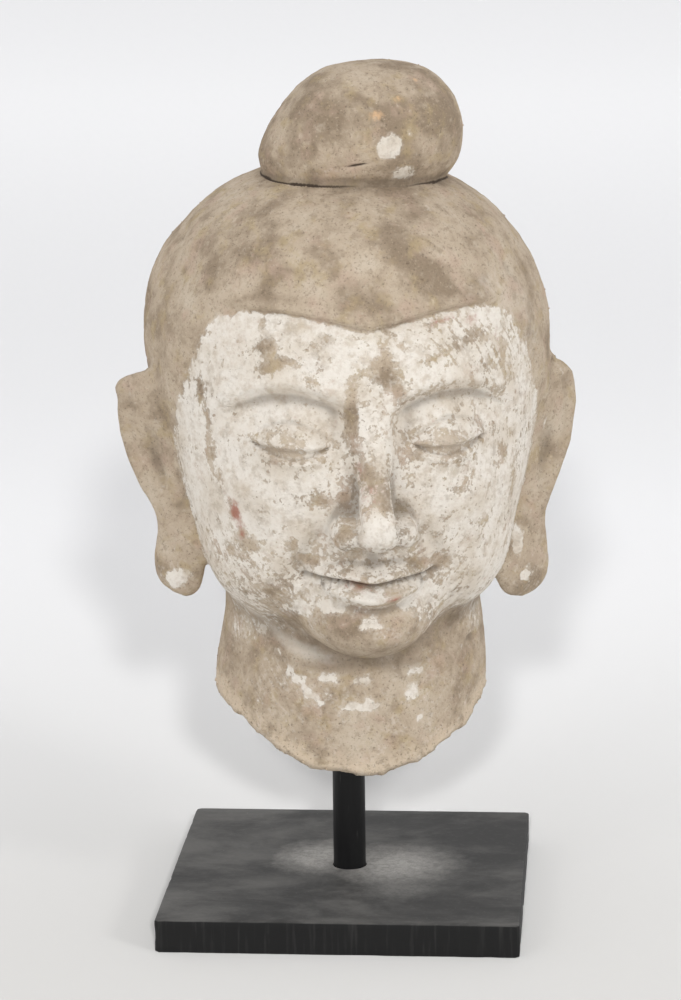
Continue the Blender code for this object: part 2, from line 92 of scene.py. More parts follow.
# Places on the face, in parts, by thirds from hairline to chin
EYE_APART = 16.5
EYE_LEVEL = -3.5
EYE_HALF_WIDTH = 8.4
BROW_LEVEL = 8.0
BROW_BEND = 0.028
NOSE_TOP = 2.0
NOSE_TIP = -20.3
NOSE_ROOT = 39.0
NOSE_REACH = 47.6
MOUTH_LEVEL = -32.6
MOUTH_HALF_WIDTH = 13.0
CHIN_LEVEL = -44.0

# Hair, in parts and degrees
HAIR_PEAK = 20.4
HAIR_ARCH_RISE = 3.3
HAIR_ARCH_ANGLE = 31.0
TEMPLE_ANGLE = 54.0
TEMPLE_SWEEP = 19.0
NAPE_LEVEL = -33.0
HAIR_EDGE = 0.9
HAIR_SOFTER_AT_TEMPLES = 1.4
HAIR_BODY = 1.7

# Topknot, in parts
KNOT_PLACE = (2.9, -1.0, 55.4)
KNOT_HALF = (21.8, 19.0, 15.4)
KNOT_LEAN = 0.12
KNOT_FULLNESS = 2.3
KNOT_FLANK = (-0.81, 0.59)
KNOT_FLANK_REACH = 16.6
KNOT_FLANK_SOFTNESS = 3.0
KNOT_FLATTENED = 0.85

# Ears, in parts
EAR_ROOT = (39.0, -5.9)
EAR_ANGLE = math.radians(38.0)
EAR_TOPS = {-1: 6.0, 1: 6.2}
EAR_BOTTOMS = {-1: -42.4, 1: -45.4}
EAR_DROPS = (0.0, 0.035, 0.14, 0.33, 0.51, 0.64, 0.76, 0.88, 0.96, 1.0)
EAR_OUTER = {
    -1: (8.5, 11.8, 12.7, 11.3, 7.3, 3.8, 3.9, 5.0, 2.6, -2.6),
    1: (7.2, 9.8, 12.0, 10.9, 6.2, 3.5, 3.9, 5.0, 2.6, -2.6),
}
EAR_INNER = {
    -1: (-3.5, -4.0, -4.0, -4.0, -4.5, -6.3, -8.2, -8.4, -6.8, -4.5),
    1: (-3.5, -4.0, -4.0, -4.0, -4.5, -6.9, -10.0, -11.6, -9.6, -5.5),
}
EAR_THICK = (2.4, 4.8, 5.6, 5.6, 5.2, 4.8, 5.0, 5.6, 4.4, 2.0)

# The mesh: how many points go round and down each lump of clay
HEAD_COLUMNS = 360
HEAD_ROWS = 190
NECK_ROWS = 24
BREAK_RINGS = 18
EAR_COLUMNS = 44
EAR_ROWS = 60
KNOT_COLUMNS = 136
KNOT_ROWS = 64
EDGE = 0.42

# Rays that find the head's surface: from the middle of the head, lower for the mouth, then level out
COLUMN_CROWDS = [(0.0, 0.95, 1.7)]
ROW_CROWDS = [(28.0, 3.4, 4.0), (-12.0, 26.0, 1.0), (-4.0, 6.0, 1.2), (-40.0, 8.0, 3.0)]
FRONT_REACH = 40.0
MOUTH_DIP = 14.0
JAW_SLOPE = math.radians(-58.0)
NECK_SLOPE = math.radians(-15.0)
NECK_REACH = 28.5
RAY_NEAR = 4.0
RAY_FAR = 90.0
HALVINGS = 26


def ramp(value, start, stop):
    """0 before start, 1 after stop, and a smooth rise between."""
    t = np.clip((value - start) / (stop - start), 0.0, 1.0)
    return t * t * (3 - 2 * t)


def bump(*offsets):
    """1 at the middle and falling off all round; each offset is a distance over its spread."""
    return np.exp(-sum(offset**2 for offset in offsets))


def crowded(start, stop, count, crowds):
    """Values from start to stop that stand closer together at each (place, spread, strength)."""
    fine = np.linspace(start, stop, 2001)
    density = 1.0 + sum(strength * bump((fine - place) / spread) for place, spread, strength in crowds)
    total = np.concatenate(([0.0], np.cumsum((density[1:] + density[:-1]) / 2)))
    return np.interp(np.linspace(0.0, total[-1], count), total, fine)


def through(places, values, at):
    """A smooth curve through values at rising places, read at any place between them."""
    places, values = np.array(places, float), np.array(values, float)
    slopes = np.gradient(values, places)
    i = np.clip(np.searchsorted(places, at) - 1, 0, len(places) - 2)
    span = places[i + 1] - places[i]
    t = (at - places[i]) / span
    start = (1 + 2 * t) * (1 - t) ** 2 * values[i] + t * (1 - t) ** 2 * span * slopes[i]
    stop = t * t * (3 - 2 * t) * values[i + 1] + t * t * (t - 1) * span * slopes[i + 1]
    return start + stop


def hashed(cells, seed):
    """A number from 0 to 1 for each cell of a grid, always the same for the same cell and seed."""
    n = cells[..., 0] * 73856093 ^ cells[..., 1] * 19349663 ^ cells[..., 2] * 83492791 ^ seed * 26544357
    n = (n ^ (n >> 13)) * 1274126177 & 0x7FFFFFFF
    n = (n ^ (n >> 15)) * 668265263 & 0x7FFFFFFF
    return ((n ^ (n >> 16)) & 0xFFFFFF) / 0xFFFFFF


def lumps(points, size, seed):
    """Smooth unevenness from -1 to 1, whose lumps are about so many parts apart."""
    cells = np.floor(points / size).astype(np.int64)
    t = points / size - cells
    t = t * t * (3 - 2 * t)
    total = 0.0
    for corner in np.ndindex(2, 2, 2):
        share = np.prod(np.where(corner, t, 1 - t), axis=1)
        total = total + share * hashed(cells + np.array(corner), seed)
    return 2 * total - 1


def rough(points, size, seed, octaves=3):
    """Lumps on lumps, each set half the size and strength of the one before."""
    return sum(lumps(points, size / 2**i, seed + 31 * i) / 2**i for i in range(octaves))


def pits(points, size, seed, share):
    """Round pits, one in some of the cells of a grid: 1 at a pit's middle and 0 outside it."""
    cells = np.floor(points / size).astype(np.int64)
    deep = np.zeros(len(points))
    for beside in np.ndindex(3, 3, 3):
        cell = cells + np.array(beside) - 1
        middle = np.stack([0.25 + 0.5 * hashed(cell, seed + i) for i in range(3)], axis=-1)
        radius = 0.16 + 0.26 * hashed(cell, seed + 3)
        away = np.linalg.norm(points / size - cell - middle, axis=1) / radius
        deep = np.maximum(deep, np.clip(1 - away**2, 0, 1) * (hashed(cell, seed + 4) < share))
    return deep


def joined(first, second, blend):
    """Two solids' distances as one solid's, with the corner between them filled over blend parts."""
    near = np.maximum(blend - np.abs(first - second), 0.0)
    return np.minimum(first, second) - near * near / (4 * blend)


def egg(x, y, z, centre, radii):
    """Distance from an ellipsoid, near enough for carving."""
    across = [(v - c) / r for v, c, r in zip((x, y, z), centre, radii)]
    steep = [(v - c) / r**2 for v, c, r in zip((x, y, z), centre, radii)]
    reach = np.sqrt(sum(v * v for v in across))
    slope = np.sqrt(sum(v * v for v in steep))
    return reach * (reach - 1) / np.maximum(slope, 1e-9)


def neck(x, y, z):
    """A round neck that widens towards the break and ends up inside the head."""
    widening = NECK_WIDENING * ramp(-z, 45, 63)
    swell = NECK_SWELL * bump((z - NECK_SWELL_LEVEL) / 9.0) * ramp(x, 0.0, 22.0)
    half_width, half_depth = NECK_WAIST + widening + swell, NECK_WAIST + 0.8 + widening
    column = (np.hypot((x - NECK_ASIDE) / half_width, (y - 0.5) / half_depth) - 1) * half_width
    return np.maximum(column, z + 20)


def masses(x, y, z):
    """Skull, full cheeks, jaw, chin, nape and neck run together, before any carving."""
    m = np.abs(x)
    skull, face, jaw, chin, nape = (egg(m, y, z, *mass) for mass in (SKULL, FACE, JAW, CHIN, NAPE))
    head = joined(joined(skull, face, 14.0), jaw, 9.0)
    return joined(joined(joined(head, chin, 9.0), nape, 12.0), neck(x, y, z), 3.5)


def nose(x, y, z):
    """A straight ridge from the brow to a rounded tip, with a wing each side of its foot."""
    m = np.abs(x)
    along_y, along_z = NOSE_REACH - NOSE_ROOT, NOSE_TIP + 2.0 - NOSE_TOP
    share = ((y + NOSE_ROOT) * -along_y + (z - NOSE_TOP) * along_z) / (along_y**2 + along_z**2)
    share = np.clip(share, 0.0, 1.0)
    beside_y, beside_z = y + NOSE_ROOT + along_y * share, z - NOSE_TOP - along_z * share
    ridge = np.sqrt(m**2 + beside_y**2 + beside_z**2) - 2.3 - 1.3 * share
    tip = egg(x, y, z, (0, -NOSE_REACH - 0.2, NOSE_TIP), (4.5, 4.6, 4.1))
    wing = egg(m, y, z, (5.7, -NOSE_REACH + 4.2, NOSE_TIP - 1.2), (3.3, 4.7, 3.2))
    wings = joined(joined(ridge, tip, 3.0), wing, 2.4)
    nostril = egg(m, y, z, (3.6, -NOSE_REACH + 2.2, NOSE_TIP - 4.4), (1.7, 2.6, 1.9))
    return -joined(-wings, nostril, 0.7)


def brow_line(m):
    """Height of the brow's edge at a distance m from the middle line."""
    return BROW_LEVEL - BROW_BEND * (m - 17.0) ** 2


def brow_relief(m, z):
    """The socket, sharp under the brow's arc and dying away into the cheek."""
    below = brow_line(m) - z
    across = ramp(m, 2.5, 8.0) * (1 - ramp(m, 21.0, 36.0))
    socket = -2.4 * ramp(below, -0.8 - EDGE, 2.0 + EDGE) * (1 - ramp(below, 6.0, 20.0)) * across
    inner_corner = -1.9 * bump((m - 7.6) / 3.4, (z + 0.5) / 6.0)
    fades = ramp(m, 2.0, 8.0) * ramp(-m, -32.0, -18.0)
    ridge = 0.5 * bump((below + 1.2 + EDGE / 2) / (1.0 + EDGE)) * fades
    return socket + inner_corner + ridge


def eye_opening(m):
    """How far the lids are open at a distance m from the middle line, from 0 at the corners to 1."""
    return np.maximum(1 - ((m - EYE_APART) / EYE_HALF_WIDTH) ** 2, 0.0)


def eye_relief(m, z):
    """A full lid half closed over the eye, with a fold above it and a narrow downcast opening under it."""
    outward = m - EYE_APART
    corners = EYE_LEVEL + 0.05 * outward
    ball = bump(outward / 8.8, (z - corners - 0.4) / 5.4)
    lids = eye_opening(m)
    upper, lower = corners - 0.7 * lids, corners - 3.1 * lids
    opening = ramp(upper - z, -EDGE, EDGE) * ramp(z - lower, -EDGE, EDGE) * ramp(lids, 0.0, 0.25)
    upper_rim = 0.4 * bump((z - upper - 0.75) / 0.6) * ramp(lids, 0.0, 0.3)
    lower_rim = 0.25 * bump((z - lower + 0.8) / 0.8) * ramp(lids, 0.0, 0.3)
    fold = -0.45 * bump((z - corners - 1.0 - 3.6 * lids) / 0.8) * ramp(lids, 0.05, 0.6)
    return 3.5 * ball - 1.0 * opening + upper_rim + lower_rim + fold


def mouth_line(x):
    """The line between the lips, lifted a little at the corners."""
    return MOUTH_LEVEL + 1.0 * (x / MOUTH_HALF_WIDTH) ** 2 - 0.5 * bump(x / 3.5)


def mouth_relief(x, z):
    """Full lips with a rim, on a rounded muzzle."""
    m = np.abs(x)
    line = mouth_line(x)
    taper = np.maximum(1 - (m / MOUTH_HALF_WIDTH) ** 2, 0.0)
    upper_height = 0.6 + 3.3 * taper**0.8 - 0.7 * bump(x / 3.0)
    lower_height = 0.6 + 4.2 * taper**0.8
    upper, lower = np.clip((z - line) / upper_height, 0.0, 1.0), np.clip((line - z) / lower_height, 0.0, 1.0)
    lips = 1.9 * np.sin(math.pi * upper) * taper**0.7
    lips += 2.4 * np.sin(math.pi * lower) * taper**0.7
    rim = 0.35 * (bump((z - line - upper_height) / 0.5) + bump((line - z - lower_height) / 0.6)) * taper**0.5
    muzzle = 2.0 * bump(x / 14.0, (z + 31.5) / 9.5)
    parting = -1.2 * bump((z - line) / (0.25 + 0.7 * EDGE)) * ramp(MOUTH_HALF_WIDTH + 2.0 - m, 0, 3.0)
    corner = -1.2 * bump((m - MOUTH_HALF_WIDTH - 0.6) / 2.0, (z - line) / 2.2)
    return lips + rim + muzzle + parting + corner


def chin_relief(x, z):
    """A round chin with a soft fold between it and the lower lip, and the hollow under the nose."""
    ball = 2.3 * bump(x / 8.0, (z - CHIN_LEVEL) / 5.0)
    fold = -1.5 * bump(x / 9.0, (z - CHIN_LEVEL - 5.6) / 2.3)
    hollow = -0.8 * bump(x / 1.7, (z + 27.0) / 2.4)
    hollow += 0.25 * bump((np.abs(x) - 2.3) / 0.8, (z + 27.0) / 2.4)
    return ball + fold + hollow


def cheek_relief(m, z):
    """Full cheeks, and the shallow fold that runs from each wing of the nose."""
    cheek = 1.7 * bump((m - 21.0) / 9.5, (z + 16.5) / 10.0)
    fold = -0.8 * bump((m - 11.0 - 0.5 * (-22.0 - z)) / 1.8, (z + 25.5) / 5.0)
    return cheek + fold


def hair_arch(angle):
    """Rise of the hair's edge over the brow, in parts, at an angle in degrees from the face's middle."""
    return HAIR_ARCH_RISE * np.sin(np.radians(90 * np.clip(angle / HAIR_ARCH_ANGLE, 0.0, 1.0))) ** 1.2


def hair_edge(x, y, z):
    """Distance into the hair from its edge: two arches over the brow, swept back at the temples."""
    angle = np.degrees(np.arctan2(np.abs(x), -y))
    over_brow = z - HAIR_PEAK - hair_arch(angle)
    temple = TEMPLE_ANGLE + TEMPLE_SWEEP * np.clip((20.0 - z) / 22.0, 0.0, 1.6)
    past_temple = np.radians(angle - temple) * 16.0
    above_nape = z - NAPE_LEVEL - 14.0 * (1 - ramp(angle, 85.0, 125.0))
    return np.minimum(-joined(-over_brow, -past_temple, 4.0), above_nape)


def hair_relief(x, y, z):
    """Hair laid close to the head, proud of the skin by a low rounded step."""
    inside = hair_edge(x, y, z)
    soft = EDGE + HAIR_SOFTER_AT_TEMPLES * ramp(np.abs(x), 20.0, 34.0)
    roll = 0.25 * bump((inside - 1.6) / 1.3)
    return HAIR_EDGE * ramp(inside, -soft, soft) + HAIR_BODY * ramp(inside, 0.0, 16.0) + roll


def neck_fold(x, y, z):
    """One soft ring round the front of the neck."""
    ring = -54.0 + 0.10 * (y + 28.0)
    return -0.25 * bump((z - ring) / 1.0) * ramp(-y, -4.0, 10.0)


def head_distance(x, y, z):
    """Distance outside the carved head, in parts; below zero inside it."""
    m = np.abs(x)
    face = brow_relief(m, z) + eye_relief(m, z) + mouth_relief(x, z) + chin_relief(x, z) + cheek_relief(m, z)
    in_front = ramp(-y, 8.0, 20.0)
    skin = masses(x, y, z) - face * in_front - hair_relief(x, y, z) - neck_fold(x, y, z)
    return joined(skin, nose(x, y, z), 3.5)


def break_height(x, y):
    """Height of the break: near level at the sides and nape, and dropping to a tongue at the throat."""
    wave = np.sin(0.5 * x + 0.3 * y) + 0.8 * np.sin(0.4 * x - 0.8 * y + 1.0) + 0.6 * np.sin(0.9 * y + 2.0)
    throat = np.maximum(-y, 0.0) / (NECK_WAIST + NECK_WIDENING)
    slope = BREAK_RISE_TO_NAPE * np.maximum(y, 0.0) - THROAT_DROP * throat**2
    away_from_rod = ramp(np.hypot(x, y), 6.0, 18.0)
    return BREAK_AT_ROD + slope + BREAK_ROUGHNESS * wave * away_from_rod


def along_ray(reach, azimuth, slope, start):
    """The point at a level distance from the axis, on a ray that starts on the axis."""
    return reach * np.sin(azimuth), -reach * np.cos(azimuth), start + reach * np.tan(slope)


def row_shift(level, azimuth):
    """How far a row of the grid is lifted at each azimuth, so that rows run along the carving."""
    x, front = FRONT_REACH * np.sin(azimuth), np.cos(azimuth) > 0
    m, angle = np.abs(x), np.degrees(np.abs(azimuth))
    fade = 1 - ramp(angle, 48.0, 80.0)
    brow = np.maximum(brow_line(m) - BROW_LEVEL, -9.0) * bump((level - BROW_LEVEL) / 9.0)
    eye = -1.9 * eye_opening(m) * bump((level - EYE_LEVEL) / 4.0)
    line = mouth_line(np.clip(x, -MOUTH_HALF_WIDTH, MOUTH_HALF_WIDTH))
    mouth = (line - MOUTH_LEVEL) * bump((level - MOUTH_LEVEL) / 5.0)
    hair = hair_arch(angle) * bump((level - HAIR_PEAK) / 4.5)
    return (brow + eye + mouth + hair) * fade * front


def ray_rows(azimuth, head_rows, neck_rows):
    """The rays' slopes and starts, row by row from under the crown down to the break."""
    crowds = [(math.radians(at), math.radians(spread), strength) for at, spread, strength in ROW_CROWDS]
    jaw_height = NECK_REACH * math.tan(JAW_SLOPE)
    edge = break_height(*along_ray(NECK_REACH, azimuth, 0.0, 0.0)[:2])
    slopes, starts = [], []
    for slope in crowded(math.radians(90.0), JAW_SLOPE, head_rows + 1, crowds)[1:]:
        level = FRONT_REACH * math.tan(slope)
        start = -MOUTH_DIP * bump((level - MOUTH_LEVEL + 3.4) / 14.0)
        slopes.append(np.arctan((level + row_shift(level, azimuth) - start) / FRONT_REACH))
        starts.append(np.full_like(azimuth, start))
    for share in np.linspace(0.0, 1.0, neck_rows + 1)[1:]:
        slope = JAW_SLOPE + (NECK_SLOPE - JAW_SLOPE) * ramp(share, 0.0, 1.0)
        slopes.append(np.full_like(azimuth, slope))
        starts.append(jaw_height + (edge - jaw_height) * share - NECK_REACH * math.tan(slope))
    return np.array(slopes), np.array(starts)


def ray_lengths(azimuth, slopes, starts):
    """How far each ray runs to the head's surface, by halving the stretch that holds the crossing."""
    near, far = np.full(slopes.shape, RAY_NEAR), np.full(slopes.shape, RAY_FAR)
    for _ in range(HALVINGS):
        middle = (near + far) / 2
        outside = head_distance(*along_ray(middle * np.cos(slopes), azimuth, slopes, starts)) > 0
        near, far = np.where(outside, near, middle), np.where(outside, middle, far)
    return (near + far) / 2


def strips(rows, columns):
    """Faces between rings of points that follow one another, each ring closed on itself."""
    faces = []
    for here in range(0, (rows - 1) * columns, columns):
        for c in range(columns):
            beside = (c + 1) % columns
            faces.append((here + c, here + columns + c, here + columns + beside, here + beside))
    return faces


def fans(rows, columns, first_pole, last_pole):
    """Faces from the first ring up to one pole and from the last ring down to the other."""
    last = (rows - 1) * columns
    top = [(first_pole, c, (c + 1) % columns) for c in range(columns)]
    bottom = [(last_pole, last + (c + 1) % columns, last + c) for c in range(columns)]
    return top + bottom


def ringed_mesh(name, rings, top, bottom):
    """A closed mesh from rings of points and the two poles that shut its ends, with its faces outwards."""
    rows, columns = len(rings), len(rings[0])
    points = np.vstack([*rings, [top], [bottom]])
    faces = strips(rows, columns) + fans(rows, columns, rows * columns, rows * columns + 1)
    mesh = bpy.data.meshes.new(name)
    mesh.from_pydata(points.tolist(), [], faces)
    shape = bmesh.new()
    shape.from_mesh(mesh)
    bmesh.ops.recalc_face_normals(shape, faces=shape.faces)
    shape.to_mesh(mesh)
    shape.free()
    return mesh


def skull_mesh():
    """Head, face and neck in one skin, closed below by the rough face of the break."""
    azimuth = crowded(-math.pi, math.pi, HEAD_COLUMNS + 1, COLUMN_CROWDS)[:-1]
    slopes, starts = ray_rows(azimuth, HEAD_ROWS, NECK_ROWS)
    lengths = ray_lengths(azimuth, slopes, starts)
    rings = list(np.stack(along_ray(lengths * np.cos(slopes), azimuth, slopes, starts), axis=-1))
    edge = rings[-1]
    lift = edge[:, 2] - break_height(edge[:, 0], edge[:, 1])
    for share in np.linspace(1.0, 0.0, BREAK_RINGS + 1)[1:-1]:
        x, y = edge[:, 0] * share, edge[:, 1] * share
        rings.append(np.stack((x, y, break_height(x, y) + lift * share**3), axis=-1))
    crown = ray_lengths(np.zeros(1), np.full(1, math.radians(89.99)), np.zeros(1))[0]
    return ringed_mesh("skull", rings, (0.0, 0.0, crown), (0.0, 0.0, BREAK_AT_ROD))


def ear_outline(side, drop):
    """Inner and outer edge across the ear's slanting plane, and its thickness, at a share of its drop."""
    return [through(EAR_DROPS, values, drop) for values in (EAR_INNER[side], EAR_OUTER[side], EAR_THICK)]


def ear_relief(share, drop):
    """Carving on the ear's outer face; share runs from 0 at its root to 1 at its rim."""
    rim = 0.9 * ramp(share, 0.72, 0.88) * (1 - ramp(drop, 0.50, 0.66))
    groove = -0.3 * bump((share - 0.70 + 0.15 * drop) / 0.09) * (1 - ramp(drop, 0.46, 0.60))
    hollow = -1.9 * bump((share - 0.44) / 0.16, (drop - 0.38) / 0.13)
    fold = 0.6 * bump((share - 0.56 + 0.2 * (drop - 0.1)) / 0.08, (drop - 0.15) / 0.13)
    inner_fold = 0.5 * bump((share - 0.62) / 0.07, (drop - 0.38) / 0.15)
    slit = -0.5 * bump((share - 0.50) / 0.08, (drop - 0.76) / 0.13)
    lobe = 0.5 * bump((share - 0.5) / 0.3, (drop - 0.90) / 0.08)
    return rim + groove + hollow + fold + inner_fold + slit + lobe


def ear_mesh(side):
    """A long-lobed ear, made apart and pressed on; side is 1 for the viewer's right and -1 for the left."""
    top, bottom = EAR_TOPS[side], EAR_BOTTOMS[side]
    across = np.array([math.cos(EAR_ANGLE), math.sin(EAR_ANGLE)])
    outward = np.array([math.sin(EAR_ANGLE), -math.cos(EAR_ANGLE)])
    turn = np.linspace(0, 2 * math.pi, EAR_COLUMNS, endpoint=False)
    rings = []
    for drop in crowded(0.0015, 0.998, EAR_ROWS, [(0.0, 0.06, 3.0), (1.0, 0.06, 3.0)]):
        inner, outer, thick = ear_outline(side, drop)
        share = 0.5 + 0.5 * np.sign(np.cos(turn)) * np.abs(np.cos(turn)) ** 0.8
        place = inner + (outer - inner) * share
        proud = thick / 2 * np.sin(turn) + ear_relief(share, drop) * ramp(np.sin(turn), 0.05, 0.5)
        level = np.outer(place, across) + np.outer(proud, outward) + np.array(EAR_ROOT)
        height = top + (bottom - top) * drop
        rings.append(np.column_stack((side * level[:, 0], level[:, 1], np.full(EAR_COLUMNS, height))))
    poles = [(*rings[i][:, :2].mean(axis=0), z) for i, z in ((0, top), (-1, bottom))]
    return ringed_mesh("ear", rings, *poles)


def knot_mesh():
    """The topknot, a lump of clay rolled by hand and pressed on the crown, leaning a little aside."""
    turn = crowded(-math.pi, math.pi, KNOT_COLUMNS + 1, [(-0.15, 0.25, 2.0)])[:-1]
    rings = []
    for lift in crowded(math.pi / 2, -math.pi / 2, KNOT_ROWS + 2, [(-0.30, 0.10, 4.0)])[1:-1]:
        lump = 1 + 0.025 * np.sin(2 * turn + 3 * lift) + 0.02 * np.sin(3 * turn - 2 * lift + 1)
        height = math.copysign(abs(math.sin(lift)) ** (2 / KNOT_FULLNESS), lift) * KNOT_HALF[2]
        girth = math.cos(lift) ** (2 / KNOT_FULLNESS) * lump
        x = girth * np.sin(turn) * KNOT_HALF[0] + KNOT_LEAN * height
        y = -girth * np.cos(turn) * KNOT_HALF[1]
        beyond = x * KNOT_FLANK[0] + height * KNOT_FLANK[1] - KNOT_FLANK_REACH
        beyond = (beyond + np.hypot(beyond, KNOT_FLANK_SOFTNESS)) / 2 * KNOT_FLATTENED
        x, level = x - beyond * KNOT_FLANK[0], height - beyond * KNOT_FLANK[1]
        rings.append(np.column_stack((x, y, level)) + KNOT_PLACE)
    ends = [np.array([KNOT_LEAN * end, 0.0, end]) + KNOT_PLACE for end in (KNOT_HALF[2], -KNOT_HALF[2])]
    return ringed_mesh("topknot", rings, *ends)


# Wear on the head: where it lies, as the angle round the head in degrees (to the viewer's right) and the
# height in parts, then its half width and half height in parts, its turn in degrees, and how strong it is

# White slip that has come off (below zero) or stayed (above zero)
SLIP_PATCHES = [
    (-30.9, 15.8, 3.4, 1.7, 5, -0.6), (-25.2, 13.7, 3.2, 1.3, 12, -0.55), (-29.7, 12.2, 2, 1.5, 30, -0.55),
    (-32.8, 21.3, 1.1, 1.3, 0, -0.5), (-15.7, 16.9, 2.4, 0.9, 12, -0.4), (-17, 10.1, 1.7, 1.2, 0, -0.4),
    (-12.5, 18.3, 1.6, 0.9, 0, -0.32), (-22, 9.3, 1.2, 0.7, 0, -0.3), (-40, 17.5, 0.9, 0.7, 0, -0.28),
    (-5.5, 6.2, 1.5, 5.2, 0, -0.55), (3.5, 11.1, 2.8, 2.6, -30, -0.55), (-5.8, 0.8, 1.3, 4, 0, -0.5),
    (3.7, 16.1, 1.3, 2.6, 0, -0.4), (7, 8, 1.3, 2, -30, -0.35), (-54.7, 5.8, 1.1, 3.2, 8, -0.5),
    (-51.6, 0.6, 1.3, 3.4, -8, -0.5), (-60.5, 8, 0.8, 3, 10, -0.35), (-52, -7.3, 1.5, 3.2, 0, -0.55),
    (-48.1, -12.7, 1.2, 2.4, 0, -0.35), (-38.2, -25.8, 2.3, 1.8, 20, -0.45),
    (-43, -18.6, 1.9, 2.6, 15, -0.4), (-40.2, -24, 1.6, 2.6, 0, -0.36), (-46, -28, 2, 1.6, 30, -0.34),
    (-24.8, -24.9, 1.6, 1.4, 0, -0.42), (-15.6, -14.7, 2.6, 2.2, 0, -0.4), (-8, -14.1, 1.5, 2.6, 0, -0.45),
    (1, -13.2, 1.4, 3.2, 0, -0.45), (-1.5, -8.5, 1.6, 2.6, 0, -0.4), (-7.9, -19.1, 2.6, 1.6, 20, -0.5),
    (-19.3, -28.3, 2.6, 1.1, 0, -0.5), (15.1, -28.9, 2.6, 1.2, 0, -0.5), (-8.4, -42.2, 5, 3.2, 0, -0.45),
    (-26.2, -44, 4.4, 2.6, 20, -0.45), (7, -40.2, 4, 2.6, 0, -0.4), (45.3, -47, 5, 3, -20, -0.4),
    (23.1, -29.8, 2.2, 2, 0, -0.45), (44.6, -8.2, 2, 2.6, 0, -0.4), (36, -22, 2, 1.3, 0, -0.38),
    (30, 16.5, 5, 1, 15, -0.34), (18, 14, 4.6, 0.8, 18, -0.34), (44, 12, 1.2, 4, 0, -0.34),
    (26, -14, 2.2, 1.6, 0, -0.36), (52, -18, 1.3, 4.5, 0, -0.34), (-33, -36, 2.4, 1.6, 0, -0.36),
    (0, -24.5, 3, 1.6, 0, -0.4), (0, -36.5, 5, 1, 0, -0.34), (-1.6, -40.1, 2.6, 0.9, 0, 0.62),
    (-1.1, -35.7, 3.6, 1, 0, 0.5), (9.5, -36.5, 2, 1.6, 0, 0.45), (16, -35.5, 2.4, 1.4, 15, 0.4),
    (-12.5, -38, 2.4, 1.4, 0, 0.4), (-22, -39, 2.2, 1.8, 0, 0.35), (0, -19.8, 3.4, 2.6, 0, 0.3),
    (30, -40, 4, 1.2, 25, 0.35), (-29, -56.6, 3, 0.8, -38, 0.62), (-23, -59.6, 3, 0.8, -30, 0.66),
    (-33.7, -54.5, 1.6, 0.8, 60, 0.55), (-16.6, -56.1, 2, 1.2, 10, 0.62), (-2.9, -57.1, 1.9, 1, 10, 0.62),
    (-3.1, -61.8, 4.2, 0.9, 2, 0.74), (0.5, -60.4, 1, 1.2, 0, 0.52), (-3.6, -66.6, 5, 0.8, -3, 0.78),
    (18.6, -60.2, 1.6, 2, -35, 0.62), (22.2, -65.7, 0.9, 0.6, 0, 0.6), (21.3, -55, 2.2, 0.7, 12, 0.56),
    (-41, -51.6, 1.2, 0.7, -30, 0.45),
]

# A thin wash that only clouds the clay
WASH_PATCHES = [
    (-52.2, -43.1, 5, 2.2, -38, 0.75), (-36.7, -48.9, 7, 2, -25, 0.85), (-20.3, -51.3, 6, 1.8, -14, 0.8),
    (22, -47.5, 7, 1.6, 20, 0.55), (38, -40, 5, 1.8, 40, 0.6), (55, -30, 2.4, 8, 0, 0.5),
    (8, -55.5, 8, 2.4, 8, 0.4), (-60, -30, 3, 8, 0, 0.45), (50, 22, 9, 6, 0, 0.4), (62, 14, 5, 10, 0, 0.45),
    (40, 27, 8, 3, 10, 0.3), (-70, -2, 3, 9, 0, 0.4), (120, 10, 12, 9, 0, 0.25), (-140, 5, 10, 8, 0, 0.22),
    (180, -20, 12, 7, 0, 0.22),
]

# Smoke and handling, dark (below zero) or rubbed pale (above zero)
TONE_PATCHES = [
    (-25.3, 31.3, 3.4, 2.4, 10, -0.85), (-33.1, 28.4, 3, 1.8, 30, -0.6), (-21, 35.7, 2.4, 1.5, 0, -0.5),
    (11.4, 35.4, 9, 3.2, -30, -0.55), (13.7, 31.4, 6, 2.6, -20, -0.55), (-0.1, 25.2, 6, 2.2, 0, -0.45),
    (-41.1, 25.2, 6, 1.4, 12, -0.6), (-24, 26, 7, 1.2, -4, -0.5), (22, 27.5, 9, 1.8, -14, -0.4),
    (-39.7, 28.4, 4.6, 2.2, 20, 0.7), (-16.7, 29.8, 2.8, 2.2, 0, 0.6), (-4.5, 31.5, 4.4, 2.2, 20, 0.7),
    (-62.8, 24.1, 4, 3.4, 0, 0.5), (26.2, 33.6, 3.4, 1.3, -15, 0.9), (49.4, 27, 3.6, 5, -20, 0.6),
    (59.6, 23.9, 2, 6, 0, 0.5), (-24.3, 33.8, 2.8, 1.8, 60, 0.55), (46, 37.2, 4, 2, -30, 0.35),
    (-60, 5, 3, 7, 0, -0.3), (-75, 12, 5, 9, 0, -0.25), (-85, 20, 6, 5, 0, -0.35), (-20, 42, 9, 1.6, 8, 0.3),
    (20, 43, 9, 1.6, -8, 0.22), (-55, 38, 5, 3, 30, -0.3), (-38, -62, 5, 2.2, 0, -0.4),
    (-20, -68, 6, 1.6, 10, -0.25), (36, -57, 7, 6, 0, 0.4), (-5.5, 3, 2, 7, 0, -0.6),
    (3.5, 11, 3.2, 3, 0, -0.45), (-5, -43, 8, 3.6, 0, -0.55), (4, -64, 12, 6, 0, 0.55),
    (-6, -70, 12, 3, 0, 0.5), (0, -11, 3, 4, 0, -0.45), (0, -30, 10, 2, 0, -0.3), (150, 30, 12, 9, 0, -0.45),
    (-150, 20, 9, 12, 0, 0.35), (110, -10, 9, 12, 0, -0.35), (-115, -5, 8, 10, 0, -0.35),
    (170, -5, 14, 7, 0, 0.3), (-170, -45, 12, 8, 0, -0.3),
]

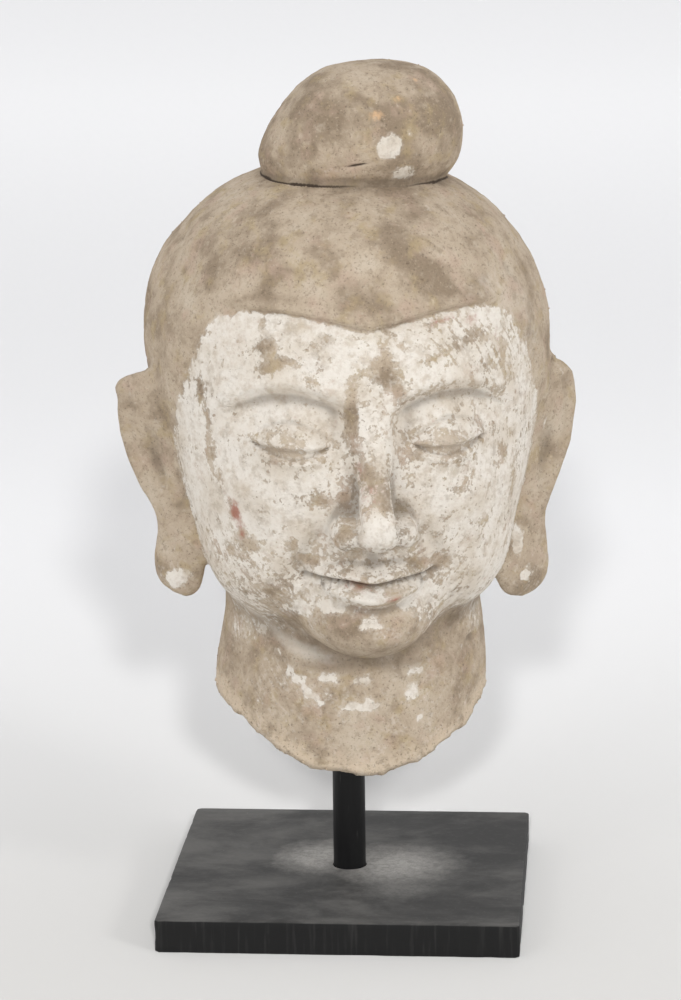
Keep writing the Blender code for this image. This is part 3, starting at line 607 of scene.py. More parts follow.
# Traces of red pigment and of pink ground
RED_PATCHES = [
    (-42.4, -18.8, 1.7, 2.7, 10, 1), (-40.6, -23.6, 1.2, 1.6, 0, 0.6), (-4, -32.9, 3.4, 0.8, 0, 0.7),
    (5, -35.6, 2.4, 0.7, 0, 0.55), (22, 20.8, 4, 0.8, 8, 0.45), (33, 20.5, 2.2, 1.2, 0, 0.5),
    (-1.5, -12.5, 2.4, 3, 0, 0.4), (42, 16, 1, 3.6, 0, 0.3), (-4, -8, 1.4, 2, 0, 0.35),
]

# Hollows pressed or knocked into the clay, with their depth in millimetres
HOLLOWS = [
    (-88.5, 34.5, 2.4, 1.8, 0, 0.9), (-32.5, 36.5, 2.2, 1.5, 0, 0.5), (-5.4, 40, 1.8, 1.2, 0, 0.5),
    (57.2, 29.3, 1.7, 2.6, 10, 0.8), (70.1, 19.8, 0.8, 1.3, 0, 1.3), (-72, 29.6, 2.6, 2, 0, 0.7),
    (-25.3, 31.3, 2.6, 2, 0, 0.5), (44, 35, 2.6, 1.6, -20, 0.4), (72, 12, 0.8, 2.4, 0, 0.7),
    (-95, 20, 3, 2.4, 0, 0.6), (130, 26, 3.2, 2.2, 20, 0.8), (165, 8, 2.8, 3.4, 0, 0.6),
    (-150, 30, 3, 2.4, -20, 0.7), (-125, 2, 2.6, 3, 0, 0.6), (112, -16, 1.8, 2.8, 0, 0.5),
    (58, -52, 2.4, 1.1, 0, 1.6), (-66, -60, 3.4, 1.8, 10, 0.7), (-158, -52, 3.6, 2.2, 0, 0.8),
    (80, 8, 9, 12, 0, -1.1),
]

# The same kinds on the topknot, measured from its own middle, and its crack
KNOT_SLIP = [(12.1, -1, 2.7, 2.3, 40, 1.25), (24.2, -6.9, 2.9, 2.1, 0, 0.64), (22, 1.6, 0.8, 0.9, 0, 0.6)]
KNOT_TONE = [
    (-25.6, 7.3, 3.6, 2.2, 20, -0.6), (40.4, 3.7, 3, 3, 0, -0.55), (-55.8, 5.9, 3.6, 2.4, 20, -0.6),
    (-5, 9, 4.4, 1, -30, -0.55), (-66, -2, 2.6, 4.6, 0, 0.5), (8, 9.6, 3, 2.4, 0, 0.4),
    (-20, -6.5, 3.6, 1.3, 8, 0.35), (-46, -6, 4, 2.2, 0, 0.3), (150, 4, 7, 4, 0, -0.4),
    (0, 3, 24, 12, 0, -0.45), (30, 6, 5, 4, 0, -0.25),
]
KNOT_RUST = [(4, 5.7, 1.9, 1.2, 0, 0.9), (19.6, 8.7, 1.7, 0.8, 20, 0.8), (43.6, 11.6, 1, 1.4, 0, 0.7)]
KNOT_HOLLOWS = [(-24, 4, 4, 2.6, 0, 0.5), (55, 2, 3, 2, 0, 0.4), (160, 3, 4, 3, 0, 0.6)]
KNOT_CRACKS = [(-9, -4.4, 2.9, 0.3, 10, 1)]

# And on the ears
EAR_SLIP = [
    (70.6, -31.6, 1.2, 3.4, 0, 0.85), (73.5, -39.9, 1.3, 1.2, 0, 0.85), (78.4, -41, 2.2, 1.6, 40, 0.62),
    (-76.3, -37.9, 1.7, 2.6, -35, 0.68), (-79.9, -40.6, 1.8, 1.3, 0, 0.58), (80.7, -8, 0.8, 2.4, 0, 0.45),
]
EAR_TONE = [
    (-82.5, -10.6, 1.8, 3.4, 0, -0.4), (-86, -1.5, 1.8, 0.9, -20, -0.6), (-84, -20, 2.4, 4, 0, 0.5),
    (-80, -31, 2.4, 3.4, 0, 0.4), (84, -8, 1.6, 4, 0, 0.5), (79, -20, 2.4, 4, 0, 0.35),
    (76, -35, 2, 2.4, 0, -0.3),
]

# How the clay's surface is shaped by hand and by wear, in millimetres: how deep, and how far apart or wide
SWELL_SIZES = 15.0, 7.0
GRAIN_DEPTH, GRAIN_SIZE = 0.16, 3.2
LARGE_PIT_DEPTH, LARGE_PIT_SIZE = 0.45, 5.0
SMALL_PIT_DEPTH, SMALL_PIT_SIZE = 0.30, 2.6
CRACK_DEPTH = 0.8
SEAM_DEPTH, SEAM_WIDTH = 0.55, 0.55
BREAK_DEPTH, BREAK_SIZE = 0.55, 4.5
NICK_SIZES = 11.0, 2.6
EAR_ROOT_ROUND = 2.4
KNOT_SEAM_ROUND = 0.7
HEALING_ROUNDS = 60

# The share of places that have a large or a small pit
LARGE_PITTED = 0.22
SMALL_PITTED = 0.16

# How much slip is left on each part of the head, before the patches; it breaks up below a half
SLIP_LEFT_CHEEK = 0.74
SLIP_RIGHT_CHEEK = 0.65
SLIP_ROUND_NOSE = 0.52
SLIP_ROUND_MOUTH = 0.52
SLIP_ON_LIDS = 0.44
SLIP_UNDER_MOUTH = 0.34
SLIP_ON_NECK = 0.16
SLIP_ON_EARS = 0.02
SLIP_MORE_ON_LOBES = 0.14

# What the clay's material reads at each point, among it painted shade and dirt in the hollows
WEAR_AND_SHADE = ("slip", "bristled", "wash", "tone", "red", "rust", "fresh", "crack", "hollow")

# How much lumps of 9, 3 and 1 mm have to do with where the slip breaks
FLAKING = {"torn": 0.55, "flaked": 0.95, "pricked": 0.85}

# Dust heaped by the rod's foot: where, across and back, how far it reaches and how thick it lies
DUST_HEAPS = ((-0.0105, 0.0075, 0.036, 1.0), (0.0160, 0.0000, 0.044, 0.95), (0.0200, -0.0240, 0.032, 0.40))


class Surface:
    """The points of the head's skin in parts, with what each belongs to and which way it faces."""

    SKULL, EAR, KNOT = 0, 1, 2

    def __init__(self, mesh, lumps_of_clay):
        count = len(mesh.vertices)
        self.mesh = mesh
        self.points = np.empty(count * 3)
        mesh.vertices.foreach_get("co", self.points)
        self.points = self.points.reshape(-1, 3)
        edges = np.empty(len(mesh.edges) * 2, np.int64)
        mesh.edges.foreach_get("vertices", edges)
        self.ends = edges.reshape(-1, 2)
        self.linked = np.bincount(edges, minlength=count)
        away = np.array([[tree.find_nearest(point)[3] for point in self.points] for tree in lumps_of_clay]).T
        away = np.column_stack((away[:, 0], away[:, 1:3].min(axis=1), away[:, 3]))
        self.lump = away.argmin(axis=1)
        self.from_ear_root = np.maximum(away[:, 0], away[:, 1])
        self.from_knot_seam = np.maximum(away[:, 0], away[:, 2])
        self.face_outwards()

    def face_outwards(self):
        """Reads each point's normal, once its place has changed."""
        self.mesh.vertices.foreach_set("co", self.points.ravel())
        self.mesh.update()
        normals = np.empty(len(self.points) * 3)
        self.mesh.vertex_normals.foreach_get("vector", normals)
        self.normals = normals.reshape(-1, 3)

    def smoothed(self, values, rounds, weight=0.5):
        """Values averaged along the mesh's edges, round after round."""
        for _ in range(rounds):
            total = np.column_stack([
                np.bincount(self.ends[:, 0], values[self.ends[:, 1], i], len(values))
                + np.bincount(self.ends[:, 1], values[self.ends[:, 0], i], len(values))
                for i in range(values.shape[1])
            ])
            values = values + (total / self.linked[:, None] - values) * np.reshape(weight, (-1, 1))
        return values

    def raise_by(self, height):
        """Moves every point along its normal, by a height in parts."""
        self.points = self.points + self.normals * height[:, None]
        self.face_outwards()

    def spots(self, patches, lump=0, middle=(0.0, 0.0, 0.0), crisp=False):
        """The patches' strengths added up at each point; a patch fades out from its middle or its edge."""
        x, y, z = (self.points - middle).T
        total = np.zeros(len(z))
        own = np.flatnonzero(self.lump == lump)
        azimuth = np.arctan2(x[own], -y[own])
        for angle, level, wide, high, turn, strength in patches:
            aside = np.angle(np.exp(1j * (azimuth - math.radians(angle))))
            at = own[np.argmin((aside * 40) ** 2 + (z[own] - level) ** 2)]
            over = np.array([math.cos(math.radians(angle)), math.sin(math.radians(angle)), 0.0])
            up = np.cross(self.normals[at], over)
            up /= np.linalg.norm(up)
            away = self.points - self.points[at]
            across, along, through_clay = away @ over, away @ up, away @ self.normals[at]
            c, s = math.cos(math.radians(turn)), math.sin(math.radians(turn))
            reach = (across * c + along * s) / wide, (along * c - across * s) / high
            inside = bump(*reach, through_clay / (wide + high)) * (self.lump == lump)
            total += strength * (ramp(inside, 0.12, 0.66) if crisp and strength > 0 else inside)
        return total


def heal_joints(skin):
    """Rounds the corner where each ear was pressed on, the ears' ends, and a little under the topknot."""
    root = 0.7 * bump(skin.from_ear_root / (EAR_ROOT_ROUND * MM))
    seam = 0.35 * bump(skin.from_knot_seam / (KNOT_SEAM_ROUND * MM))
    z = skin.points[:, 2]
    ear_end = (skin.lump == Surface.EAR) * np.maximum(ramp(-z, 30.0, 36.0), ramp(z, 2.0, 5.0))
    weight = 0.6 * np.maximum(np.maximum(root, seam), 0.3 * ear_end)
    skin.points = skin.smoothed(skin.points, HEALING_ROUNDS, weight)
    skin.face_outwards()


def break_share(skin):
    """1 on the broken face under the neck and 0 on the skin above it."""
    x, y, z = skin.points.T
    under = ramp(-skin.normals[:, 2], 0.35, 0.75)
    return under * (1 - ramp(z - break_height(x, y), 1.4, 2.6)) * (z < BREAK_AT_ROD + 8)


def weather(skin, unevenness, chips):
    """Hand-made unevenness, hollows, pits, the topknot's crack and the rough break; lengths in parts."""
    x, y, z = skin.points.T
    inside_hair = ramp(hair_edge(x, y, z), 0.0, 4.0) * (skin.lump == Surface.SKULL)
    hand_built = np.where(skin.lump == Surface.SKULL, inside_hair, 1.0)
    lower_neck = ramp(-z, 52.0, 60.0)
    coarse = np.maximum(hand_built, lower_neck)
    off_rod = ramp(np.hypot(x, y), 6.0, 9.0)
    wide, narrow = SWELL_SIZES
    soft = lumps(skin.points, wide * MM, 1) + 0.5 * lumps(skin.points, narrow * MM, 2)
    height = unevenness * soft * (0.40 + 0.60 * np.maximum(hand_built, 0.7 * lower_neck))
    height += GRAIN_DEPTH * MM * rough(skin.points, GRAIN_SIZE * MM, 3) * (0.50 + 0.50 * coarse)
    height -= CRACK_DEPTH * MM * skin.spots(KNOT_CRACKS, Surface.KNOT, KNOT_PLACE)
    large = pits(skin.points, LARGE_PIT_SIZE * MM, 4, LARGE_PITTED)
    height -= LARGE_PIT_DEPTH * MM * large * hand_built
    small = pits(skin.points, SMALL_PIT_SIZE * MM, 9, SMALL_PITTED)
    height -= SMALL_PIT_DEPTH * MM * small * (0.3 + 0.7 * coarse)
    height -= MM * (skin.spots(HOLLOWS) + skin.spots(KNOT_HOLLOWS, Surface.KNOT, KNOT_PLACE))
    height -= SEAM_DEPTH * MM * bump(skin.from_knot_seam / (SEAM_WIDTH * MM))
    broken = break_share(skin)
    height += BREAK_DEPTH * MM * rough(skin.points, BREAK_SIZE * MM, 12) * broken * off_rod
    rim = bump((z - break_height(x, y) - 0.8) / 2.2) * (1 - broken) * ramp(-z, 50.0, 58.0)
    wide, narrow = NICK_SIZES
    nicks = 0.8 * np.maximum(lumps(skin.points, wide * MM, 15) - 0.1, 0)
    nicks += 0.7 * np.maximum(rough(skin.points, narrow * MM, 16), 0)
    height -= chips * nicks * np.maximum(rim, 0.5 * broken * off_rod)
    skin.raise_by(height)


def hollowness(skin):
    """How far each point lies below the skin round it, in millimetres; below zero on a ridge."""
    flat = skin.smoothed(skin.points, 14)
    return np.einsum("ij,ij->i", flat - skin.points, skin.normals) / MM


def slip_left(skin):
    """How much slip is left: under a half it breaks up into flakes, and near 0 there is none."""
    x, y, z = skin.points.T
    angle = np.degrees(np.arctan2(x, -y))
    m, turned = np.abs(x), np.abs(angle)
    skull = skin.lump == Surface.SKULL
    into_hair = hair_edge(x, y, z) + 0.5 * lumps(skin.points, 2.5 * MM, 33)
    face = (1 - ramp(into_hair, -1.3, -0.1)) * (1 - ramp(turned, 66.0, 84.0)) * skull
    left, right = ramp(-angle, -2.0, 8.0), ramp(angle, 2.0, 10.0)
    left_share = SLIP_LEFT_CHEEK - 0.19 * ramp(-z, 16.0, 32.0)
    right_share = SLIP_RIGHT_CHEEK - 0.04 * bump((z - 12) / 8.0) + 0.04 * bump((z + 16) / 8.0)
    share = left_share * left + right_share * (1 - left)
    share += (SLIP_ROUND_NOSE - share) * bump((m - 3.0) / 5.5, (z + 12.0) / 13.0)
    share += (SLIP_ROUND_MOUTH - share) * bump(x / 15.0, (z + 29.0) / 8.0)
    lids = bump((m - EYE_APART) / 8.0, (z - EYE_LEVEL + 0.5) / 4.2)
    share += (SLIP_ON_LIDS - share) * lids
    share -= 0.16 * bump((brow_line(m) - z) / 0.9) * ramp(m, 3.0, 8.0) * (1 - ramp(m, 27.0, 32.0)) * right
    share += (SLIP_UNDER_MOUTH - share) * ramp(-z, 35.0, 43.0) * (1 - 0.45 * ramp(turned, 18.0, 40.0))
    share = share * (1 - ramp(-z - 0.10 * turned, 42.0, 48.0)) * face
    ear = (skin.lump == Surface.EAR) * (SLIP_ON_EARS + SLIP_MORE_ON_LOBES * ramp(-z, 32.0, 40.0))
    neck_share = SLIP_ON_NECK * ramp(-z, 46.0, 52.0) * (1 - ramp(turned, 40.0, 70.0)) * skull
    share = np.maximum(np.maximum(share, ear), neck_share) + skin.spots(SLIP_PATCHES, crisp=True)
    share += skin.spots(EAR_SLIP, Surface.EAR, crisp=True)
    return np.clip(share + skin.spots(KNOT_SLIP, Surface.KNOT, KNOT_PLACE, crisp=True), 0.0, 1.0)


def brush_strokes(skin):
    """Places across and along the brush strokes, which circle the face, and how plainly they show."""
    x, y, z = skin.points.T
    azimuth = np.arctan2(x, -y)
    across, along = azimuth * 40.0, (z + 6.0) * 0.85
    reach, turn = np.hypot(across, along), np.arctan2(across, along)
    plainer = np.maximum(ramp(azimuth, -0.1, 0.15), ramp(reach, 30, 38))
    shown = ramp(reach, 10.0, 22.0) * (0.35 + 0.65 * plainer)
    places = np.column_stack((0.75 * reach / MM, 3.1 * turn / MM, np.zeros(len(z))))
    return places, 0.75 * shown * (1 - ramp(np.abs(turn), 2.7, 3.0))


def store(mesh, name, kind, values):
    """Keeps a value or a vector for each point of the mesh, for the material to read."""
    attribute = mesh.attributes.new(name, kind, "POINT")
    field = "value" if kind == "FLOAT" else "vector"
    attribute.data.foreach_set(field, np.ascontiguousarray(values).ravel())


def record_wear_and_shade(skin):
    """Stores what the clay's material reads at each point of the skin, including the painted shade in its
    hollows.
    """
    x, y, z = skin.points.T
    tone = skin.spots(TONE_PATCHES) + skin.spots(KNOT_TONE, Surface.KNOT, KNOT_PLACE)
    tone = tone + skin.spots(EAR_TONE, Surface.EAR)
    hair = np.where(skin.lump == Surface.SKULL, ramp(hair_edge(x, y, z), -0.2, 0.6), 0.0)
    hair = np.where(skin.lump == Surface.KNOT, 1.0, hair)
    crumbled_rim = 0.90 * bump((z - break_height(x, y)) / 4.8) * ramp(-z, 50.0, 60.0)
    lids = bump((np.abs(x) - EYE_APART) / 9.0, (z - EYE_LEVEL) / 4.6) * ramp(-y, 8.0, 20.0)
    seam_angle = np.degrees(np.arctan2(x - KNOT_PLACE[0], -y + KNOT_PLACE[1]))
    seam = bump(skin.from_knot_seam / (0.40 * MM)) * (1 - 0.85 * bump((seam_angle - 10.0) / 28.0))
    # Painted shade, with some dirt: how deep each point lies in a hollow, for the material to darken; less
    # on the ears
    dirt_and_shade = hollowness(skin) * np.where(skin.lump == Surface.EAR, 0.55, 1.0)
    strokes, bristled = brush_strokes(skin)
    bristled *= 1 - hair
    wear = {
        "slip": slip_left(skin) - bristled / 2,
        "bristled": bristled,
        "wash": np.clip(skin.spots(WASH_PATCHES) + 0.5 * lids, 0.0, 1.0),
        "tone": np.clip(tone, -1.0, 1.0),
        "red": np.clip(skin.spots(RED_PATCHES), 0.0, 1.0),
        "rust": np.clip(skin.spots(KNOT_RUST, Surface.KNOT, KNOT_PLACE), 0.0, 1.0),
        "hair": hair,
        "fresh": np.maximum(break_share(skin), crumbled_rim),
        "crack": np.maximum(seam, skin.spots(KNOT_CRACKS, Surface.KNOT, KNOT_PLACE)),
        "hollow": np.clip(dirt_and_shade, -1.0, 1.0),
    }
    for name, values in wear.items():
        store(skin.mesh, name, "FLOAT", values)
    store(skin.mesh, "stroke", "FLOAT_VECTOR", strokes)


def united(context, name, mesh, others):
    """One closed mesh from several that run into each other, without doubled points or slivers."""
    thing = bpy.data.objects.new(name, mesh)
    context.scene.collection.objects.link(thing)
    shapes = []
    for operation, other in others:
        shape = bpy.data.objects.new(other.name, other)
        context.scene.collection.objects.link(shape)
        shapes.append(shape)
        modifier = thing.modifiers.new(other.name, "BOOLEAN")
        modifier.operation, modifier.object, modifier.solver = operation, shape, "MANIFOLD"
    whole = bpy.data.meshes.new_from_object(thing.evaluated_get(context.evaluated_depsgraph_get()))
    for extra in [thing, *shapes]:
        bpy.data.objects.remove(extra)
    shape = bmesh.new()
    shape.from_mesh(whole)
    bmesh.ops.remove_doubles(shape, verts=shape.verts, dist=0.02 * MM)
    bmesh.ops.dissolve_degenerate(shape, edges=shape.edges, dist=0.01 * MM)
    bmesh.ops.triangulate(shape, faces=shape.faces)
    shape.to_mesh(whole)
    shape.free()
    return whole


def rod_hole():
    """The hole drilled up into the neck, as a cutter in the head's own measure."""
    radius, top, length = (ROD_HIGH.x - ROD_LOW.x) / 2 + PLAY, ROD_HIGH.z + PLAY, 0.12
    mesh = bpy.data.meshes.new("rod_hole")
    shape = bmesh.new()
    bmesh.ops.create_cone(shape, cap_ends=True, segments=48, radius1=radius, radius2=radius, depth=length)
    bmesh.ops.translate(shape, verts=shape.verts, vec=(0, 0, top - length / 2))
    shape.transform(head_to_scene().inverted())
    shape.to_mesh(mesh)
    shape.free()
    return mesh


def head_to_scene():
    """Where the head stands: turned on the rod, a little aside, with parts made into metres."""
    return Matrix.Translation(HEAD_PLACE) @ Matrix.Rotation(HEAD_TURN, 4, "Z") @ Matrix.Scale(PART, 4)


def head_mesh(context, settings):
    """Skull, ears and topknot as one clay, weathered and marked with its wear and with painted shade in its
    hollows.
    """
    skull, knot = skull_mesh(), knot_mesh()
    ears = [ear_mesh(side) for side in (-1, 1)]
    trees = [surface_of(mesh) for mesh in (skull, *ears, knot)]
    joined_lumps = [("UNION", ears[0]), ("UNION", ears[1]), ("UNION", knot), ("DIFFERENCE", rod_hole())]
    mesh = united(context, "clay", skull, joined_lumps)
    skin = Surface(mesh, trees)
    heal_joints(skin)
    weather(skin, settings.unevenness / PART, settings.chips / PART)
    record_wear_and_shade(skin)
    mesh.transform(head_to_scene())
    mesh.shade_smooth()
    return mesh


def surface_of(mesh):
    """A tree that finds the nearest point on a mesh."""
    faces = [tuple(face.vertices) for face in mesh.polygons]
    return BVHTree.FromPolygons([v.co for v in mesh.vertices], faces)


def linear(colour):
    """The linear red, green, blue and alpha of an sRGB hex colour."""
    channels = [int(colour[i : i + 2], 16) / 255 for i in (0, 2, 4)]
    return (*[c / 12.92 if c <= 0.04045 else ((c + 0.055) / 1.055) ** 2.4 for c in channels], 1.0)


def node(tree, kind, inputs=None, **settings):
    """Adds a node with its settings; inputs gives its sockets, in order or by name, a value or a link."""
    made = tree.nodes.new(kind)
    for name, value in settings.items():
        setattr(made, name, value)
    for key, value in inputs.items() if isinstance(inputs, dict) else enumerate(inputs or []):
        if isinstance(value, bpy.types.NodeSocket):
            tree.links.new(value, made.inputs[key])
        else:
            made.inputs[key].default_value = value
    return made


def new_material(name):
    """An empty material; returns it with its tree and the place that its patterns read."""
    material = bpy.data.materials.new(name)
    material.use_nodes = True
    tree = material.node_tree
    tree.nodes.clear()
    return material, tree, node(tree, "ShaderNodeTexCoord").outputs["Object"]


def with_shader(material, inputs):
    """The material with its shader and output; inputs gives the shader's sockets by name."""
    shader = node(material.node_tree, "ShaderNodeBsdfPrincipled", inputs)
    node(material.node_tree, "ShaderNodeOutputMaterial", {"Surface": shader.outputs["BSDF"]})
    return material


# Mix nodes hold a set of sockets for each kind of value; these are the ones for colours
SHARE, FIRST, SECOND, MIXED = 0, 6, 7, 2
SMOOTH = {"interpolation_type": "SMOOTHSTEP"}


def grains(tree, place, sizes):
    """Noise patterns by name; each has the size of its lumps in metres, its detail and its roughness."""
    patterns = {}
    for name, (size, detail, roughness) in sizes.items():
        inputs = {"Vector": place, "W": 3.7 * len(patterns), "Scale": 1 / size, "Detail": detail,
                  "Roughness": roughness}
        patterns[name] = node(tree, "ShaderNodeTexNoise", inputs, noise_dimensions="4D").outputs["Fac"]
    return patterns


def added_up(tree, total, parts):
    """A total with each pattern's value times its strength added to it."""
    for pattern, strength in parts:
        inputs = [pattern, strength, total]
        total = node(tree, "ShaderNodeMath", inputs, operation="MULTIPLY_ADD").outputs[0]
    return total


def coated(tree, colour, coats):
    """A colour under coats laid one over another.

    Each is the coat's colour, the pattern that decides it, where in the pattern it starts and where it is
    thickest, and how much it then covers.
    """
    for coat, pattern, start, stop, thickest in coats:
        cover = node(tree, "ShaderNodeMapRange", [pattern, start, stop, 0.0, thickest], **SMOOTH).outputs[0]
        inputs = {SHARE: cover, FIRST: colour, SECOND: tuple(coat)}
        colour = node(tree, "ShaderNodeMix", inputs, data_type="RGBA").outputs[MIXED]
    return colour


def slipped_clay(clay):
    """Low-fired buff earthenware, built by hand, under the flaking remains of a white slip brushed on.

    The clay is matt and gritty, smoked in patches and rubbed pale in others, and ochre where it crumbles.
    The slip is a chalky film a fifth of a millimetre thick, with a crisp edge where a flake has gone and a
    cloudy one where it was rubbed away.
    """
    material, tree, place = new_material("slipped_clay")
    worn = {name: node(tree, "ShaderNodeAttribute", attribute_name=name).outputs["Fac"] for name in WEAR_AND_SHADE}
    seen = grains(tree, place, {
        "patch": (0.016, 3.0, 0.6), "warm": (0.011, 3.0, 0.6), "olive": (0.008, 3.0, 0.6),
        "blotch": (0.0052, 3.0, 0.6), "mottle": (0.0024, 4.0, 0.65), "grit": (0.0010, 3.0, 0.7),
        "torn": (0.009, 2.0, 0.55), "flaked": (0.0030, 2.5, 0.6), "pricked": (0.0012, 2.0, 0.6),
        "thin": (0.0042, 4.0, 0.68), "rubbed": (0.0017, 3.0, 0.6), "cream": (0.013, 3.0, 0.55),
    })
    pores = node(tree, "ShaderNodeTexVoronoi", {"Vector": place, "Scale": 1 / 0.0021}).outputs["Distance"]

    # Bare clay: smoke and rubbing a centimetre or two across, then a warm and an olive cast, mottle and grit
    patch = added_up(tree, seen["patch"], [(worn["tone"], 0.26)])
    crumbling = added_up(tree, worn["fresh"], [(seen["blotch"], 1.6)])
    bare = coated(tree, tuple(clay.buff), [
        (clay.smoke, patch, 0.55, 0.32, 0.95),
        (clay.pale, patch, 0.52, 0.76, 0.80),
        (clay.ochre, seen["olive"], 0.50, 0.70, 0.70),
        (clay.pink, seen["warm"], 0.52, 0.70, 0.60),
        (clay.crumb, crumbling, 0.95, 1.65, 0.80),
        (clay.smoke, seen["blotch"], 0.46, 0.30, 0.50),
        (clay.pale, seen["blotch"], 0.56, 0.74, 0.45),
        (clay.smoke, seen["mottle"], 0.47, 0.30, 0.50),
        (clay.pale, seen["mottle"], 0.55, 0.74, 0.45),
        (clay.speck, seen["grit"], 0.46, 0.28, 0.70),
        (clay.crumb, seen["grit"], 0.58, 0.74, 0.60),
        (clay.speck, pores, 0.18, 0.05, 0.35),
    ])

    # White slip: what is left breaks up in lumps of 9, 3 and 1 mm and along the brush strokes
    strokes = node(tree, "ShaderNodeAttribute", attribute_name="stroke").outputs["Vector"]
    inputs = {"Vector": strokes, "Scale": 1.0, "Detail": 3.0, "Roughness": 0.6}
    bristles = node(tree, "ShaderNodeTexNoise", inputs).outputs["Fac"]
    left = added_up(tree, worn["slip"], [
        (bristles, worn["bristled"]), *((seen[name], share) for name, share in FLAKING.items())])
    whole, crisp = clay.slip_breaks + sum(FLAKING.values()) / 2, 0.035
    inputs = [left, whole - crisp, whole + crisp, 0.0, 1.0]
    flake = node(tree, "ShaderNodeMapRange", inputs, **SMOOTH).outputs[0]

    # The film is thin in places, and where it is gone a cloud of it or a wash may be left
    film = flake
    for name, start, stop, thinnest in (("thin", 0.46, 0.66, 0.52), ("rubbed", 0.50, 0.68, 0.78)):
        inputs = [seen[name], start, stop, 0.98, thinnest]
        thickness = node(tree, "ShaderNodeMapRange", inputs, **SMOOTH).outputs[0]
        film = node(tree, "ShaderNodeMath", [film, thickness], operation="MULTIPLY").outputs[0]
    wash = added_up(tree, worn["wash"], [(seen["thin"], 0.9)])
    for inputs in ([left, whole - 0.34, whole + 0.02, 0.0, 0.32], [wash, 0.65, 1.55, 0.0, 0.80]):
        cloud = node(tree, "ShaderNodeMapRange", inputs, **SMOOTH).outputs[0]
        film = node(tree, "ShaderNodeMath", [film, cloud], operation="MAXIMUM").outputs[0]
    white = coated(tree, tuple(clay.slip), [
        (clay.cream, seen["cream"], 0.42, 0.68, 0.9),
        (clay.cream, seen["mottle"], 0.48, 0.72, 0.55),
        (clay.smoke, seen["grit"], 0.38, 0.26, 0.45),
    ])

    # Red pigment rubbed into both, rust-coloured grains, painted shade and dirt where the skin lies hollow,
    # and open cracks
    red = added_up(tree, worn["red"], [(seen["mottle"], 0.9), (seen["pricked"], 1.2)])
    rust = added_up(tree, worn["rust"], [(seen["rubbed"], 0.8), (seen["pricked"], 0.6)])
    inputs = {SHARE: film, FIRST: bare, SECOND: white}
    slipped = node(tree, "ShaderNodeMix", inputs, data_type="RGBA").outputs[MIXED]
    colour = coated(tree, slipped, [
        (clay.red, red, 1.16, 2.00, 0.85),
        (clay.rust, rust, 0.95, 1.60, 0.70),
        # Painted shade and dirt: the hollows darkened towards the dark speck colour
        (clay.speck, worn["hollow"], 0.02, 0.80, 0.50),
        (clay.crack, worn["crack"], 0.30, 0.80, 0.92),
    ])

    # The slip's thickness, the grain of the clay and its finest pores, in millimetres
    open_pores = node(tree, "ShaderNodeMapRange", [pores, 0.05, 0.22, 0.0, 1.0], **SMOOTH).outputs[0]
    height = added_up(tree, 0.0, [
        (flake, 0.13), (seen["mottle"], 0.46), (seen["grit"], 0.32), (open_pores, 0.20)])
    relief = node(tree, "ShaderNodeBump", {"Height": height, "Strength": 0.85, "Distance": 0.001})
    matt = node(tree, "ShaderNodeMapRange", [film, 0.0, 1.0, 0.95, 0.86], **SMOOTH).outputs[0]
    return with_shader(material, {
        "Base Color": colour, "Normal": relief.outputs["Normal"],
        "Roughness": matt, "Specular IOR Level": 0.22})


